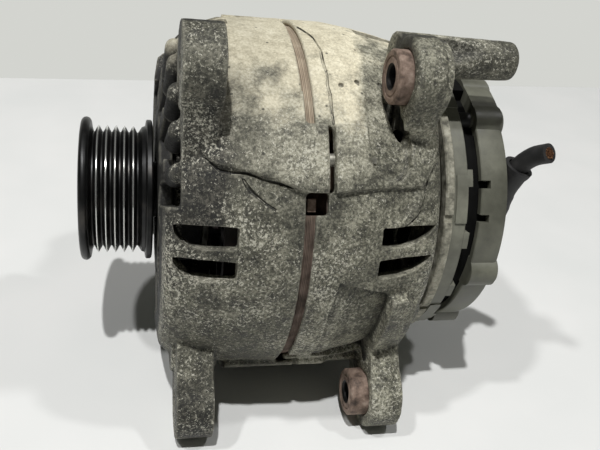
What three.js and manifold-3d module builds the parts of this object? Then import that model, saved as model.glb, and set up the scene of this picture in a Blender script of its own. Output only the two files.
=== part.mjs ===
// Car alternator with a six-groove belt pulley, twin mounting lugs and a rear rectifier.
// Millimetres. X runs along the rotor from the pulley to the rear cover, Z is up.
// The origin is the centre of the shaft's front end face. The alternator lies on its
// round body and on the tips of its two lower lugs, so the surface under it is z = -75.4.

import * as THREE from 'three';
import { mergeVertices } from 'three/addons/utils/BufferGeometryUtils.js';
import Module from 'manifold-3d';

const wasm = await Module();
wasm.setup();

// ---- driving dimensions -------------------------------------------------------------

const GAP = 0.3;                 // clearance between pieces that touch on the real one
const ROUND = 36;                // sides of the large turned castings
const SMALL_ROUND = 18;          // sides of the small turned pieces

const PULLEY = { front: -2.7, back: 26.3, flange: 30.5, tip: 27.2, valley: 24.6 };
const RIB_PITCH = 3.56;          // spacing of a PK belt's ribs
const FIRST_RIB = 4.2;
const RIB_TIPS = 5;

const FRONT_FACE = 28;           // front casting
const FRONT_LIP = 77.4;
const REAR_LIP = 81.1;           // rear casting
const REAR_FACE = 134.3;
const BODY_RADIUS = 75.4;
const STATOR = { start: 62, end: 97.2, outer: 72.5, inner: 52.3 };
const SEAT_RADIUS = STATOR.outer + GAP;

const LUG_TIP = 15;              // radius of every lug round its bolt
const BOLT_HOLE = 4.2;           // clearance hole for an M8 bolt
const UPPER_BOLT = { angle: 58.9, radius: 85.7 };
const LOWER_BOLT = { angle: -42.1, radius: 90.1 };
const FRONT_UPPER_LUG = { start: 33.2, end: 47.6 };
const FRONT_LOWER_LUG = { start: 35, end: 49.8 };
const REAR_UPPER_LUG = { start: 112.3, end: 126 };
const REAR_LOWER_LUG = { start: 114.6, end: 128.2 };
const BUSHING = { start: 107.6, end: 125.6, radius: 10 };
const LONG_BOSS = { start: 112.5, end: 160.8, y: -30.5, z: 77.1, radius: 8.4, tip: 7.3 };

const VENT_ANGLES = [16.7, 6.8, 95, 105, 172, 182];   // side vents
const THROUGH_BOLTS = [39, 129, 219, 309];   // angles of the four long bolts
const THROUGH_RADIUS = 72.8;
const PAD_RADIUS = 77.6;
const PAD_JOINT = 85.8;            // where a front pad meets the rear pad

const SHAFT_RADIUS = 8.2;
const BELT_SIDE_BEARING = { start: 31.3, end: 45.3, outer: 23.5, inner: 8.5 };
const RING_SIDE_BEARING = { start: 119.5, end: 130, outer: 17.5, inner: 7.5 };
const RETAINER_SCREW_RADIUS = 27.4;

const SINK = { start: 137.2, end: 139.9, outer: 62.5, inner: 30 };
const CARRIER = { start: 140.2, end: 146.4, outer: 61, inner: 49.5 };
const PLUS_SINK = { start: 148.5, end: 151, outer: 48.5, inner: 27 };
const COVER = { start: 154, end: 166.5, outer: 57, wall: 2.6 };
const COVER_SCREWS = [64, -50, 184];
const COVER_LOBES = [64, 83, -6, -50, 184];
const COVER_SCREW_RADIUS = 54.5;
const SLIP_RINGS = [142, 150];   // front edge of each ring
const SLIP_RING = { width: 5.5, radius: 11.2 };

const STUD = { y: -28.5, z: -23, radius: 3.9 };
const CABLE_RADIUS = 4.15;
const CABLE_ROUTE = [
  [172.4, -29.2, -9.5], [172.8, -29.4, 1], [173.6, -29.7, 11.4], [175, -30.3, 22],
  [177.4, -32, 31.6], [180.3, -35.8, 39], [183.2, -41.6, 43.8],
];

// ---- finishes -----------------------------------------------------------------------

const finish = (color, roughness, metalness) => ({ color, roughness, metalness });
const CAST = finish(0x9a988a, 0.8, 0.4);
const STEEL = finish(0x8c8c88, 0.4, 0.9);
const DARK_STEEL = finish(0x2f2f30, 0.35, 0.8);
const RUST = finish(0x7d6259, 0.9, 0.3);
const COPPER = finish(0xb06a3c, 0.45, 0.8);
const ALUMINIUM = finish(0xb8b5a5, 0.6, 0.7);
const PLASTIC = finish(0x5c5c54, 0.6, 0);
const BLACK_PLASTIC = finish(0x232322, 0.6, 0);
const RUBBER = finish(0x1c1c1c, 0.8, 0);
const CARBON = finish(0x3a3836, 0.7, 0.1);
const PLATED = finish(0xa9a79a, 0.45, 0.9);

// ---- shape helpers ------------------------------------------------------------------

const radians = (degrees) => degrees * Math.PI / 180;

// Angles round the rotor start at -Y and rise towards +Z.
const sideways = (angle, radius) => -radius * Math.cos(radians(angle));
const upwards = (angle, radius) => radius * Math.sin(radians(angle));

// A closed three.js geometry becomes a solid that can be joined and cut.
function solid(geometry) {
  const bare = new THREE.BufferGeometry();
  bare.setAttribute('position', geometry.getAttribute('position'));
  bare.setIndex(geometry.getIndex());
  const merged = mergeVertices(bare, 1e-4);
  const points = merged.getAttribute('position');
  const index = merged.getIndex().array;
  const corner = [new THREE.Vector3(), new THREE.Vector3(), new THREE.Vector3()];
  const triangles = [];
  let volume = 0;
  for (let i = 0; i < index.length; i += 3) {
    const ids = [index[i], index[i + 1], index[i + 2]];
    if (new Set(ids).size < 3) continue;
    ids.forEach((id, n) => corner[n].fromBufferAttribute(points, id));
    volume += corner[0].dot(corner[1].clone().cross(corner[2]));
    triangles.push(ids);
  }
  const outward = volume < 0 ? triangles.map(([a, b, c]) => [a, c, b]) : triangles;
  return new wasm.Manifold(new wasm.Mesh({
    numProp: 3,
    vertProperties: new Float32Array(points.array),
    triVerts: new Uint32Array(outward.flat()),
  }));
}

function join(solids) {
  return solids.reduce((all, next) => all.add(next));
}

// A body turned round the rotor axis from a closed outline of [x, radius] points.
function turned(outline, sides = SMALL_ROUND) {
  const closed = outline[0][1] > 0 ? [...outline, outline[0]] : outline;
  const points = closed.map(([x, radius]) => new THREE.Vector2(radius, x));
  return solid(new THREE.LatheGeometry(points, sides).rotateZ(-Math.PI / 2));
}

function ring(start, end, inner, outer, sides = SMALL_ROUND) {
  return turned([[start, inner], [start, outer], [end, outer], [end, inner]], sides);
}

// A round bar parallel to the rotor.
function rod(start, end, radius, y = 0, z = 0, sides = 12, endRadius = radius) {
  const bar = new THREE.CylinderGeometry(radius, endRadius, end - start, sides);
  return solid(bar.rotateZ(Math.PI / 2).translate((start + end) / 2, y, z));
}

function block(x, y, z) {
  const box = new THREE.BoxGeometry(x[1] - x[0], y[1] - y[0], z[1] - z[0]);
  return solid(box.translate((x[0] + x[1]) / 2, (y[0] + y[1]) / 2, (z[0] + z[1]) / 2));
}

// A box that points away from the rotor axis at an angle round it.
function spoke(x, angle, radii, width) {
  const box = new THREE.BoxGeometry(x[1] - x[0], radii[1] - radii[0], width);
  box.translate((x[0] + x[1]) / 2, -(radii[0] + radii[1]) / 2, 0);
  return solid(box.rotateX(-radians(angle)));
}

// A flat plate, square to the rotor, from an outline of [y, z] points.
function plate(outline, start, end) {
  const shape = new THREE.Shape(outline.map(([y, z]) => new THREE.Vector2(y, z)));
  const slab = new THREE.ExtrudeGeometry(shape, { depth: end - start, bevelEnabled: false });
  const turn = new THREE.Matrix4().makeBasis(
    new THREE.Vector3(0, 1, 0), new THREE.Vector3(0, 0, 1), new THREE.Vector3(1, 0, 0));
  return solid(slab.applyMatrix4(turn).translate(start, 0, 0));
}

// Part of a ring between two radii, reaching half its angle to each side.
function sector(start, end, angle, half, inner, outer, steps = 3) {
  const outline = [];
  for (let i = 0; i <= steps; i += 1) {
    const a = angle - half + 2 * half * i / steps;
    outline.push([sideways(a, outer), upwards(a, outer)]);
  }
  for (let i = steps; i >= 0; i -= 1) {
    const a = angle - half + 2 * half * i / steps;
    outline.push([sideways(a, inner), upwards(a, inner)]);
  }
  return plate(outline, start, end);
}

// A lug with a round tip, standing on the casting with a wider foot.
function lug(start, end, bolt, footWidth, foot = 64) {
  const tipSteps = 8;
  const outline = [];
  const place = (radial, across) => [
    sideways(bolt.angle, radial) + across * Math.sin(radians(bolt.angle)),
    upwards(bolt.angle, radial) + across * Math.cos(radians(bolt.angle)),
  ];
  outline.push(place(foot, -footWidth[0]));
  for (let i = 0; i <= tipSteps; i += 1) {
    const a = radians(-90 + 180 * i / tipSteps);
    outline.push(place(bolt.radius + LUG_TIP * Math.cos(a), LUG_TIP * Math.sin(a)));
  }
  outline.push(place(foot, footWidth[1]));
  return plate(outline, start, end);
}

// A round bar bent along a smooth curve through the points.
function bentRod(points, radius, sides, steps) {
  const path = new THREE.CatmullRomCurve3(points.map((p) => new THREE.Vector3(...p)));
  const outline = [];
  for (let i = 0; i < sides; i += 1) {
    const a = 2 * Math.PI * i / sides;
    outline.push(new THREE.Vector2(radius * Math.cos(a), radius * Math.sin(a)));
  }
  return solid(new THREE.ExtrudeGeometry(new THREE.Shape(outline),
    { steps, extrudePath: path, bevelEnabled: false }));
}

function at(bolt) {
  return [sideways(bolt.angle, bolt.radius), upwards(bolt.angle, bolt.radius)];
}

const group = new THREE.Group();

function add(name, piece, look) {
  const { vertProperties, triVerts } = piece.getMesh();
  const geometry = new THREE.BufferGeometry();
  geometry.setAttribute('position', new THREE.BufferAttribute(vertProperties, 3));
  geometry.setIndex(new THREE.BufferAttribute(triVerts, 1));
  const mesh = new THREE.Mesh(geometry, new THREE.MeshStandardMaterial(look));
  mesh.name = name;
  group.add(mesh);
}

// ---- castings -----------------------------------------------------------------------

function frontHousing() {
  const bevelled = turned([
    [FRONT_FACE, 0], [FRONT_FACE, 33], [29, 44], [30.8, 57], [34.5, 64], [41, 70.4],
    [52, 74.2], [FRONT_LIP, BODY_RADIUS], [FRONT_LIP, 0],
  ], ROUND);
  const square = turned([
    [FRONT_FACE, 0], [FRONT_FACE, 58], [29.3, 66.6], [32, 69.3], [42, 72.6], [60, 75],
    [60, 0],
  ], ROUND);
  const squareSides = [-23, 187].map((angle) => sector(27, 61, angle, 45, 20, 90, 8));
  const outer = bevelled.add(square.intersect(join(squareSides)));
  const cavity = turned([
    [33.5, 0], [33.5, 56], [38, 62.5], [61.7, 66.5], [61.7, SEAT_RADIUS],
    [FRONT_LIP + 1, SEAT_RADIUS], [FRONT_LIP + 1, 0],
  ], ROUND);
  const hub = ring(33, 46, BELT_SIDE_BEARING.outer + GAP, 31, 24);
  const pads = THROUGH_BOLTS.map((angle) => join([
    sector(56, FRONT_LIP + 0.1, angle, 9.3, 70, PAD_RADIUS),
    sector(FRONT_LIP, PAD_JOINT, angle, 9.3, BODY_RADIUS + GAP, PAD_RADIUS),
  ]));
  const lugs = [
    lug(FRONT_UPPER_LUG.start, FRONT_UPPER_LUG.end, UPPER_BOLT, [26, 20]),
    lug(FRONT_LOWER_LUG.start, FRONT_LOWER_LUG.end, LOWER_BOLT, [18, 20]),
  ];
  const casting = join([outer, ...lugs, ...pads]).subtract(cavity).add(hub);
  const cuts = [
    ring(FRONT_FACE - 1, 31, 0, 14.5),
    ring(31 - 0.1, 47, 0, BELT_SIDE_BEARING.outer + GAP, 24),
  ];
  for (let i = 0; i < 12; i += 1) cuts.push(sector(27, 35, 24 + 30 * i, 9.5, 35, 58, 1));
  for (const angle of VENT_ANGLES) {
    cuts.push(spoke([31.8, 54.1], angle, [59, 80], 6.8));
  }
  for (const angle of THROUGH_BOLTS) {
    cuts.push(rod(55, FRONT_LIP + 1, 2.8, sideways(angle, THROUGH_RADIUS),
      upwards(angle, THROUGH_RADIUS), 8));
  }
  for (let i = 0; i < 3; i += 1) {
    const a = 90 + 120 * i;
    cuts.push(rod(37, 47, 2, sideways(a, RETAINER_SCREW_RADIUS),
      upwards(a, RETAINER_SCREW_RADIUS), 6));
  }
  cuts.push(rod(30, 55, BOLT_HOLE, ...at(UPPER_BOLT)));
  cuts.push(rod(30, 55, BOLT_HOLE, ...at(LOWER_BOLT)));
  return casting.subtract(join(cuts));
}

function rearHousing() {
  const outer = turned([
    [REAR_LIP, 0], [REAR_LIP, BODY_RADIUS - 0.2], [95, BODY_RADIUS - 0.2], [108, 73.6],
    [120, 71.2], [129, 69], [132.5, 67], [REAR_FACE, 64], [REAR_FACE, 0],
  ], ROUND);
  const cavity = turned([
    [REAR_LIP - 1, 0], [REAR_LIP - 1, SEAT_RADIUS], [97.5, SEAT_RADIUS], [97.5, 66.5],
    [126, 62], [130.5, 56], [130.5, 0],
  ], ROUND);
  const hub = ring(118, 131, RING_SIDE_BEARING.outer + GAP, 22.5, 20);
  const pads = THROUGH_BOLTS.map(
    (angle) => sector(PAD_JOINT + 1.4, 98.7, angle, 9.3, 70, PAD_RADIUS));
  const lugs = [
    lug(REAR_UPPER_LUG.start, REAR_UPPER_LUG.end, UPPER_BOLT, [20, 20]),
    lug(REAR_LOWER_LUG.start, REAR_LOWER_LUG.end, LOWER_BOLT, [17, 17]),
    sector(98, REAR_LOWER_LUG.start + 1, 309, 9.3, 70, 76.4),
  ];
  const standoffs = COVER_SCREWS.map((angle) => rod(133, SINK.start - GAP, 6,
    sideways(angle, COVER_SCREW_RADIUS), upwards(angle, COVER_SCREW_RADIUS), 12));
  const longBoss = rod(LONG_BOSS.start, LONG_BOSS.end, LONG_BOSS.radius, LONG_BOSS.y, LONG_BOSS.z,
    20, LONG_BOSS.tip);
  const bossWeb = plate([[-44, 60], [-44, 74], [-30.5, 84.5], [-23.5, 78], [-18, 60]],
    REAR_UPPER_LUG.start, 131);
  const casting = join([outer, ...lugs, ...pads, longBoss, bossWeb, ...standoffs])
    .subtract(cavity).add(hub);
  const cuts = [
    ring(130, REAR_FACE + 1, 0, 12),
    ring(117, 130.3, 0, RING_SIDE_BEARING.outer + GAP, 20),
    spoke([80.5, 85.5], 26.6, [70, 80], 8),
    spoke([80.5, 85.5], -38, [70, 80], 8),
  ];
  for (let i = 0; i < 6; i += 1) cuts.push(sector(129, 136, 40 * i, 14, 28, 46.5, 2));
  for (const angle of VENT_ANGLES) {
    cuts.push(spoke([107.3, 129], angle, [57, 80], 6.8));
  }
  for (const angle of THROUGH_BOLTS) {
    const y = sideways(angle, THROUGH_RADIUS);
    const z = upwards(angle, THROUGH_RADIUS);
    cuts.push(rod(80, 99, 2.8, y, z, 8), rod(98.7, 113, 5.4, y, z, 10));
    cuts.push(spoke([98.7, 113], angle, [THROUGH_RADIUS, 82], 10.8));
  }
  for (const bolt of [UPPER_BOLT, LOWER_BOLT]) {
    cuts.push(rod(106, 131, BUSHING.radius + 0.1, ...at(bolt), 28));
  }
  for (const angle of COVER_SCREWS) {
    cuts.push(rod(126, 139, 2.7, sideways(angle, COVER_SCREW_RADIUS),
      upwards(angle, COVER_SCREW_RADIUS), 8));
  }
  for (const y of [-15.5, 15.5]) cuts.push(rod(129, 139, 2.3, y, -41, 8));
  return casting.subtract(join(cuts));
}

add('front_housing', frontHousing(), CAST);
add('rear_housing', rearHousing(), CAST);

// ---- stator -------------------------------------------------------------------------

function statorCore() {
  const slots = 36;
  const cuts = [];
  for (let i = 0; i < slots; i += 1) {
    cuts.push(spoke([STATOR.start - 1, STATOR.end + 1], 360 * i / slots,
      [STATOR.inner - 2, 65], 4.2));
  }
  for (const angle of THROUGH_BOLTS) {
    cuts.push(rod(STATOR.start - 1, STATOR.end + 1, 3.2, sideways(angle, THROUGH_RADIUS),
      upwards(angle, THROUGH_RADIUS), 8));
  }
  return ring(STATOR.start, STATOR.end, STATOR.inner, STATOR.outer, ROUND)
    .subtract(join(cuts));
}

function endWinding(start, end) {
  const middle = (start + end) / 2;
  return turned([[start, 57], [start, 62], [middle, 64.6], [end, 64], [end, 55], [middle, 54.6]],
    28);
}

add('stator_core', statorCore(), RUST);
add('front_end_winding', endWinding(51, STATOR.start - GAP), COPPER);
add('rear_end_winding', endWinding(STATOR.end + GAP, 108), COPPER);

THROUGH_BOLTS.forEach((angle, i) => {
  const y = sideways(angle, THROUGH_RADIUS);
  const z = upwards(angle, THROUGH_RADIUS);
  add(`through_bolt_${i + 1}`, rod(56, 99.2, 2.4, y, z, 8).add(rod(99, 103.5, 4.5, y, z, 6)),
    STEEL);
});

// ---- bearings -----------------------------------------------------------------------

function bearing(side, seat, width, ball, pitch, balls) {
  const middle = (seat.start + seat.end) / 2;
  const shoulder = ball + GAP;
  add(`${side}_bearing_outer_race`,
    ring(seat.start, seat.end, pitch + shoulder, seat.outer), STEEL);
  add(`${side}_bearing_inner_race`,
    ring(seat.start, seat.end, seat.inner, pitch - shoulder), STEEL);
  const cage = ring(middle - width / 2, middle + width / 2, pitch - 0.9, pitch + 0.9);
  const set = [cage];
  for (let i = 0; i < balls; i += 1) {
    const a = 360 * i / balls;
    const sphere = new THREE.IcosahedronGeometry(ball, 0);
    set.push(solid(sphere.translate(middle, sideways(a, pitch), upwards(a, pitch))));
  }
  add(`${side}_bearing_balls`, join(set), STEEL);
}

bearing('front', BELT_SIDE_BEARING, 4, 3.5, 15.8, 8);
bearing('rear', RING_SIDE_BEARING, 2.6, 2.3, 11.9, 8);

const retainerHoles = [];
for (let i = 0; i < 3; i += 1) {
  const a = 90 + 120 * i;
  const y = sideways(a, RETAINER_SCREW_RADIUS);
  const z = upwards(a, RETAINER_SCREW_RADIUS);
  retainerHoles.push(rod(46, 49, 2, y, z, 6));
  add(`retainer_screw_${i + 1}`, rod(38, 48.8, 1.7, y, z, 6).add(rod(48.7, 50.6, 3.1, y, z, 8)),
    STEEL);
}
add('bearing_retainer', ring(46.3, 48.4, 16.5, 31, 32).subtract(join(retainerHoles)), PLATED);

// ---- rotor --------------------------------------------------------------------------

add('rotor_shaft', turned([
  [0, 0], [0, SHAFT_RADIUS - 1], [1, SHAFT_RADIUS], [59, SHAFT_RADIUS], [59, 9.7], [100, 9.7],
  [100, 9], [112, 9], [112, 7.2], [158, 7.2], [158.6, 6.6], [158.6, 0],
]), STEEL);

function pulley() {
  const outline = [
    [PULLEY.front, 19], [PULLEY.front, 28.6], [-2, 30], [-0.75, PULLEY.flange], [0.5, 30],
    [1.2, 27.6],
  ];
  for (let i = 0; i < RIB_TIPS; i += 1) {
    const tip = FIRST_RIB + RIB_PITCH * i;
    outline.push([tip - RIB_PITCH / 2, PULLEY.valley], [tip, PULLEY.tip]);
  }
  const lastValley = FIRST_RIB + RIB_PITCH * (RIB_TIPS - 0.5);
  outline.push([lastValley, PULLEY.valley], [22, 27], [23.3, 27.4], [23.8, 30], [25.8, 30],
    [PULLEY.back, 29], [PULLEY.back, 8.5], [11.3, 8.5], [11.3, 19]);
  return turned(outline, 28);
}

add('pulley', pulley(), DARK_STEEL);
add('pulley_nut', rod(2, 11, 13.9, 0, 0, 6).subtract(rod(1, 12, 8.5, 0, 0, SMALL_ROUND)), STEEL);
add('spacer_collar', ring(26.6, 31, 8.5, 12), STEEL);

// One half of the rotor's iron: a disc on the shaft with six tapered fingers.
function clawPole(back, direction, angle) {
  const x = (offset) => back + direction * offset;
  const span = (a, b) => [Math.min(x(a), x(b)), Math.max(x(a), x(b))];
  const disc = ring(...span(0, 8), 10, 48);
  const core = ring(...span(0, 16.7), 10, 21);
  const fingers = [];
  for (let i = 0; i < 6; i += 1) {
    const box = new THREE.BoxGeometry(25, 8, 21);
    const corners = box.getAttribute('position');
    for (let n = 0; n < corners.count; n += 1) {
      const atTip = corners.getX(n) > 0;
      if (atTip) corners.setZ(n, corners.getZ(n) * 0.42);
      if (atTip && corners.getY(n) > 0) corners.setY(n, -0.8);
    }
    box.scale(direction, 1, 1);
    box.translate(back + direction * 12.5, -46.6, 0).rotateX(-radians(angle + 60 * i));
    fingers.push(solid(box));
  }
  return join([disc, core, ...fingers]);
}

// A pressed fan: a thin disc with upright blades.
function fan(discStart, bladeStart, bladeEnd) {
  const blades = [];
  for (let i = 0; i < 9; i += 1) {
    const box = new THREE.BoxGeometry(bladeEnd - bladeStart, 14, 1.4);
    box.rotateX(radians(35)).translate((bladeStart + bladeEnd) / 2, -42, 0);
    blades.push(solid(box.rotateX(-radians(360 * i / 9 + (i % 3) * 4))));
  }
  return join([ring(discStart, discStart + 1.5, 10, 47), ...blades]);
}

add('front_claw_pole', clawPole(62.6, 1, 0), DARK_STEEL);
add('rear_claw_pole', clawPole(96.6, -1, 30), DARK_STEEL);
add('field_coil', ring(71, 88.2, 21.4, 41.5, 32), COPPER);
add('front_fan', fan(60.8, 52.5, 61), STEEL);
add('rear_fan', fan(96.9, 98, 107), STEEL);

add('slip_ring_carrier', ring(139, 157, 7.5, 9), BLACK_PLASTIC);
SLIP_RINGS.forEach((start, i) => add(`slip_ring_${i + 1}`,
  ring(start, start + SLIP_RING.width, 9.3, SLIP_RING.radius), COPPER));

// ---- sliding bushings ---------------------------------------------------------------

for (const [name, bolt] of [['upper_bushing', UPPER_BOLT], ['lower_bushing', LOWER_BOLT]]) {
  const sleeve = rod(BUSHING.start, BUSHING.end, BUSHING.radius - 0.1, ...at(bolt), 28);
  add(name, sleeve.subtract(rod(BUSHING.start - 1, BUSHING.end + 1, BOLT_HOLE, ...at(bolt))),
    RUST);
}

// ---- rectifier ----------------------------------------------------------------------

function coverScrewHoles(start, end) {
  return join(COVER_SCREWS.map((angle) => rod(start, end, 2.7,
    sideways(angle, COVER_SCREW_RADIUS), upwards(angle, COVER_SCREW_RADIUS), 8)));
}

const minusSink = ring(SINK.start, SINK.end, SINK.inner, SINK.outer, ROUND);
const holderHoles = join([-15.5, 15.5].map((y) => rod(SINK.start - 1, SINK.end + 1, 2.3, y, -41, 8)));
add('negative_heat_sink', minusSink.subtract(coverScrewHoles(137, 141)).subtract(holderHoles),
  ALUMINIUM);
add('terminal_carrier', ring(CARRIER.start, CARRIER.end, CARRIER.inner, CARRIER.outer, ROUND)
  .subtract(coverScrewHoles(139, 148)), PLASTIC);

const brushGap = block([147, 153], [-11, 11], [-60, 0]);
const studHole = rod(147, 153, STUD.radius + GAP, STUD.y, STUD.z);
add('positive_heat_sink', ring(PLUS_SINK.start, PLUS_SINK.end, PLUS_SINK.inner, PLUS_SINK.outer, 32)
  .subtract(brushGap).subtract(studHole), ALUMINIUM);

[30, 100, 180].forEach((angle, i) => add(`negative_diode_${i + 1}`,
  rod(140.2, 146.6, 6.35, sideways(angle, 41), upwards(angle, 41), 14), STEEL));
[0, 60, 140].forEach((angle, i) => add(`positive_diode_${i + 1}`,
  rod(151.3, 157.5, 6.35, sideways(angle, 39), upwards(angle, 39), 14), STEEL));

// ---- brushes ------------------------------------------------------------------------

const BRUSH = { width: 4.6, depth: 6.4, top: -11.5, length: 15 };
const SPRING_BOTTOM = -40.7;
const brushMiddle = SLIP_RINGS.map((start) => start + SLIP_RING.width / 2);

function brushHolder() {
  const body = block([140.2, 157], [-7.5, 7.5], [-44, -15]);
  const flange = block([140.2, 144.2], [-18.5, 18.5], [-44, -36]);
  const wells = brushMiddle.map((x) => block(
    [x - BRUSH.width / 2 - GAP, x + BRUSH.width / 2 + GAP],
    [-BRUSH.depth / 2 - GAP, BRUSH.depth / 2 + GAP], [-41, -10]));
  const holes = [-15.5, 15.5].map((y) => rod(139, 146, 2.3, y, -41, 8));
  return join([body, flange]).subtract(join([...wells, ...holes]));
}

function spring(x) {
  const turns = 4;
  const perTurn = 9;
  const top = BRUSH.top - BRUSH.length - GAP;
  const points = [];
  for (let i = 0; i <= turns * perTurn; i += 1) {
    const a = 2 * Math.PI * i / perTurn;
    const height = (top - 0.4) + (SPRING_BOTTOM - top + 0.8) * i / (turns * perTurn);
    points.push([x + 1.8 * Math.cos(a), 1.8 * Math.sin(a), height]);
  }
  return bentRod(points, 0.35, 4, turns * perTurn);
}

add('brush_holder', brushHolder(), BLACK_PLASTIC);
['a', 'b'].forEach((letter, i) => {
  const x = brushMiddle[i];
  add(`brush_${letter}`, block([x - BRUSH.width / 2, x + BRUSH.width / 2],
    [-BRUSH.depth / 2, BRUSH.depth / 2], [BRUSH.top - BRUSH.length, BRUSH.top]), CARBON);
  add(`brush_spring_${letter}`, spring(x), STEEL);
});
[-15.5, 15.5].forEach((y, i) => add(`brush_holder_screw_${i + 1}`,
  rod(130, 144.7, 1.9, y, -41, 8).add(rod(144.5, 147, 3.9, y, -41, 8)), STEEL));

// ---- rear cover, plug and battery terminal ------------------------------------------

function rearCover() {
  const shell = turned([
    [COVER.start, COVER.outer - COVER.wall], [COVER.start, COVER.outer],
    [COVER.end - 2, COVER.outer], [COVER.end, COVER.outer - 2], [COVER.end, 0],
    [COVER.end - COVER.wall, 0], [COVER.end - COVER.wall, COVER.outer - COVER.wall],
  ].map(([x, radius]) => [x, Math.max(radius, 4)]), ROUND);
  const lobes = COVER_LOBES.map((angle) => rod(COVER.start, COVER.end, 7,
    sideways(angle, 53.4), upwards(angle, 53.4), 12));
  const legs = COVER_SCREWS.map((angle) => rod(CARRIER.end + GAP, COVER.end - 1, 4.4,
    sideways(angle, COVER_SCREW_RADIUS), upwards(angle, COVER_SCREW_RADIUS), 10));
  const cuts = COVER_SCREWS.flatMap((angle) => {
    const y = sideways(angle, COVER_SCREW_RADIUS);
    const z = upwards(angle, COVER_SCREW_RADIUS);
    return [rod(145, 168, 2.7, y, z, 8), rod(162, 168, 4.4, y, z, 10)];
  });
  for (let i = 0; i < 8; i += 1) cuts.push(sector(160, 168, 20 + 45 * i, 12, 12, 21, 1));
  cuts.push(rod(160, 168, 5.5, STUD.y, STUD.z));
  return join([shell, ...lobes, ...legs]).subtract(join(cuts));
}

add('rear_cover', rearCover(), PLASTIC);
COVER_SCREWS.forEach((angle, i) => {
  const y = sideways(angle, COVER_SCREW_RADIUS);
  const z = upwards(angle, COVER_SCREW_RADIUS);
  add(`cover_screw_${i + 1}`, rod(128, 162.5, 2.3, y, z, 8).add(rod(162.3, 165.6, 4, y, z, 10)),
    STEEL);
});

const socketShell = block([141, 160], [61.6, 74.4], [-9.5, 9.5]);
const socketMouth = block([147, 161], [63.6, 72.4], [-7.5, 7.5]);
add('plug_socket', socketShell.subtract(socketMouth), BLACK_PLASTIC);

add('battery_stud', rod(147.5, 179, STUD.radius, STUD.y, STUD.z).add(
  rod(151.4, 166.9, 5.1, STUD.y, STUD.z)), STEEL);
const eye = rod(167.2, 169.9, 8, STUD.y, STUD.z, 20);
const neck = block([167.2, 169.9], [-33.5, -24.5], [-19, -10]);
const barrel = new THREE.CylinderGeometry(5.2, 5.2, 13, 16).rotateX(Math.PI / 2);
const barrelBore = new THREE.CylinderGeometry(4.5, 4.5, 12, 16).rotateX(Math.PI / 2);
add('cable_lug', join([eye, neck, solid(barrel.translate(172.4, -29.2, -6.5))])
  .subtract(rod(166, 171, STUD.radius + GAP, STUD.y, STUD.z))
  .subtract(solid(barrelBore.translate(172.4, -29.2, -4))), PLATED);
add('battery_nut', rod(170.2, 176.4, 7.4, STUD.y, STUD.z, 6)
  .subtract(rod(169, 178, STUD.radius + GAP, STUD.y, STUD.z)), PLATED);
add('battery_cable', bentRod(CABLE_ROUTE, CABLE_RADIUS, 8, 18), RUBBER);
const bootRoute = [[172.8, -29.5, 3.5], [173.6, -29.7, 11.4], [175, -30.3, 22], [177.6, -32.4, 32.6]];
const boreRoute = [[172.4, -29.3, -3], [172.8, -29.4, 1], ...CABLE_ROUTE.slice(2, 5),
  [178.8, -34, 36]];
add('terminal_boot', bentRod(bootRoute, 6.5, 10, 5)
  .subtract(bentRod(boreRoute, CABLE_RADIUS + 0.6, 10, 7)), RUBBER);

export default group;
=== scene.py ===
"""Car alternator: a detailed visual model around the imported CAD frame.

Shapes are made in millimetres in the CAD's frame and scaled to metres when they are finished.
X runs along the rotor from the pulley to the rear cover. Angles round the rotor start at -Y,
the side with the mounting lugs, and rise towards +Z.
"""

import functools
import math
import random

import bmesh
import bpy
from mathutils import Matrix, Vector


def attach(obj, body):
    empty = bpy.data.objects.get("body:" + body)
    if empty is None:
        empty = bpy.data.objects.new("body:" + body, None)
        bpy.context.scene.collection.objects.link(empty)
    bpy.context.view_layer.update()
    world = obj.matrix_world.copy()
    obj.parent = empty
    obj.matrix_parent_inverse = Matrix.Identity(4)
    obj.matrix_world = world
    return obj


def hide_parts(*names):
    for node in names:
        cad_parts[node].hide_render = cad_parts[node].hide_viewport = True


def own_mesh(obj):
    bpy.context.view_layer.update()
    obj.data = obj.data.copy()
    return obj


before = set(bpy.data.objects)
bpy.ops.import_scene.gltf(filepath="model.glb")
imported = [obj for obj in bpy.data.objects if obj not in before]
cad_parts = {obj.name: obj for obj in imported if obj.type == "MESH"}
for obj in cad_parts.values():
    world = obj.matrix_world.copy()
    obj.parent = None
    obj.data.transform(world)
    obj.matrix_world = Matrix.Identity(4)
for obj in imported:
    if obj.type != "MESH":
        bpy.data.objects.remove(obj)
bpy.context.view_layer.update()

MM = 0.001
FULL_TURN = 2 * math.pi
TABLE_Z = -75.4
WELD = 1e-4                          # points nearer than this are one
CAST_VOXEL = 0.8                     # grain of the castings' mesh
CAST_DENTS = 0.3
CAST_SMOOTH = 50                     # degrees

# ---- camera ----

CAMERA_PLACE = (17.96, -270.7, 156.3)
CAMERA_TILT = math.radians(30)      # how far above the table the camera stands
CAMERA_PITCH = 0.0477
CAMERA_TURN = 0.236
CAMERA_ROLL = 0.0150
CAMERA_LENS = 42.0                  # on a 36 mm wide sensor


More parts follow.
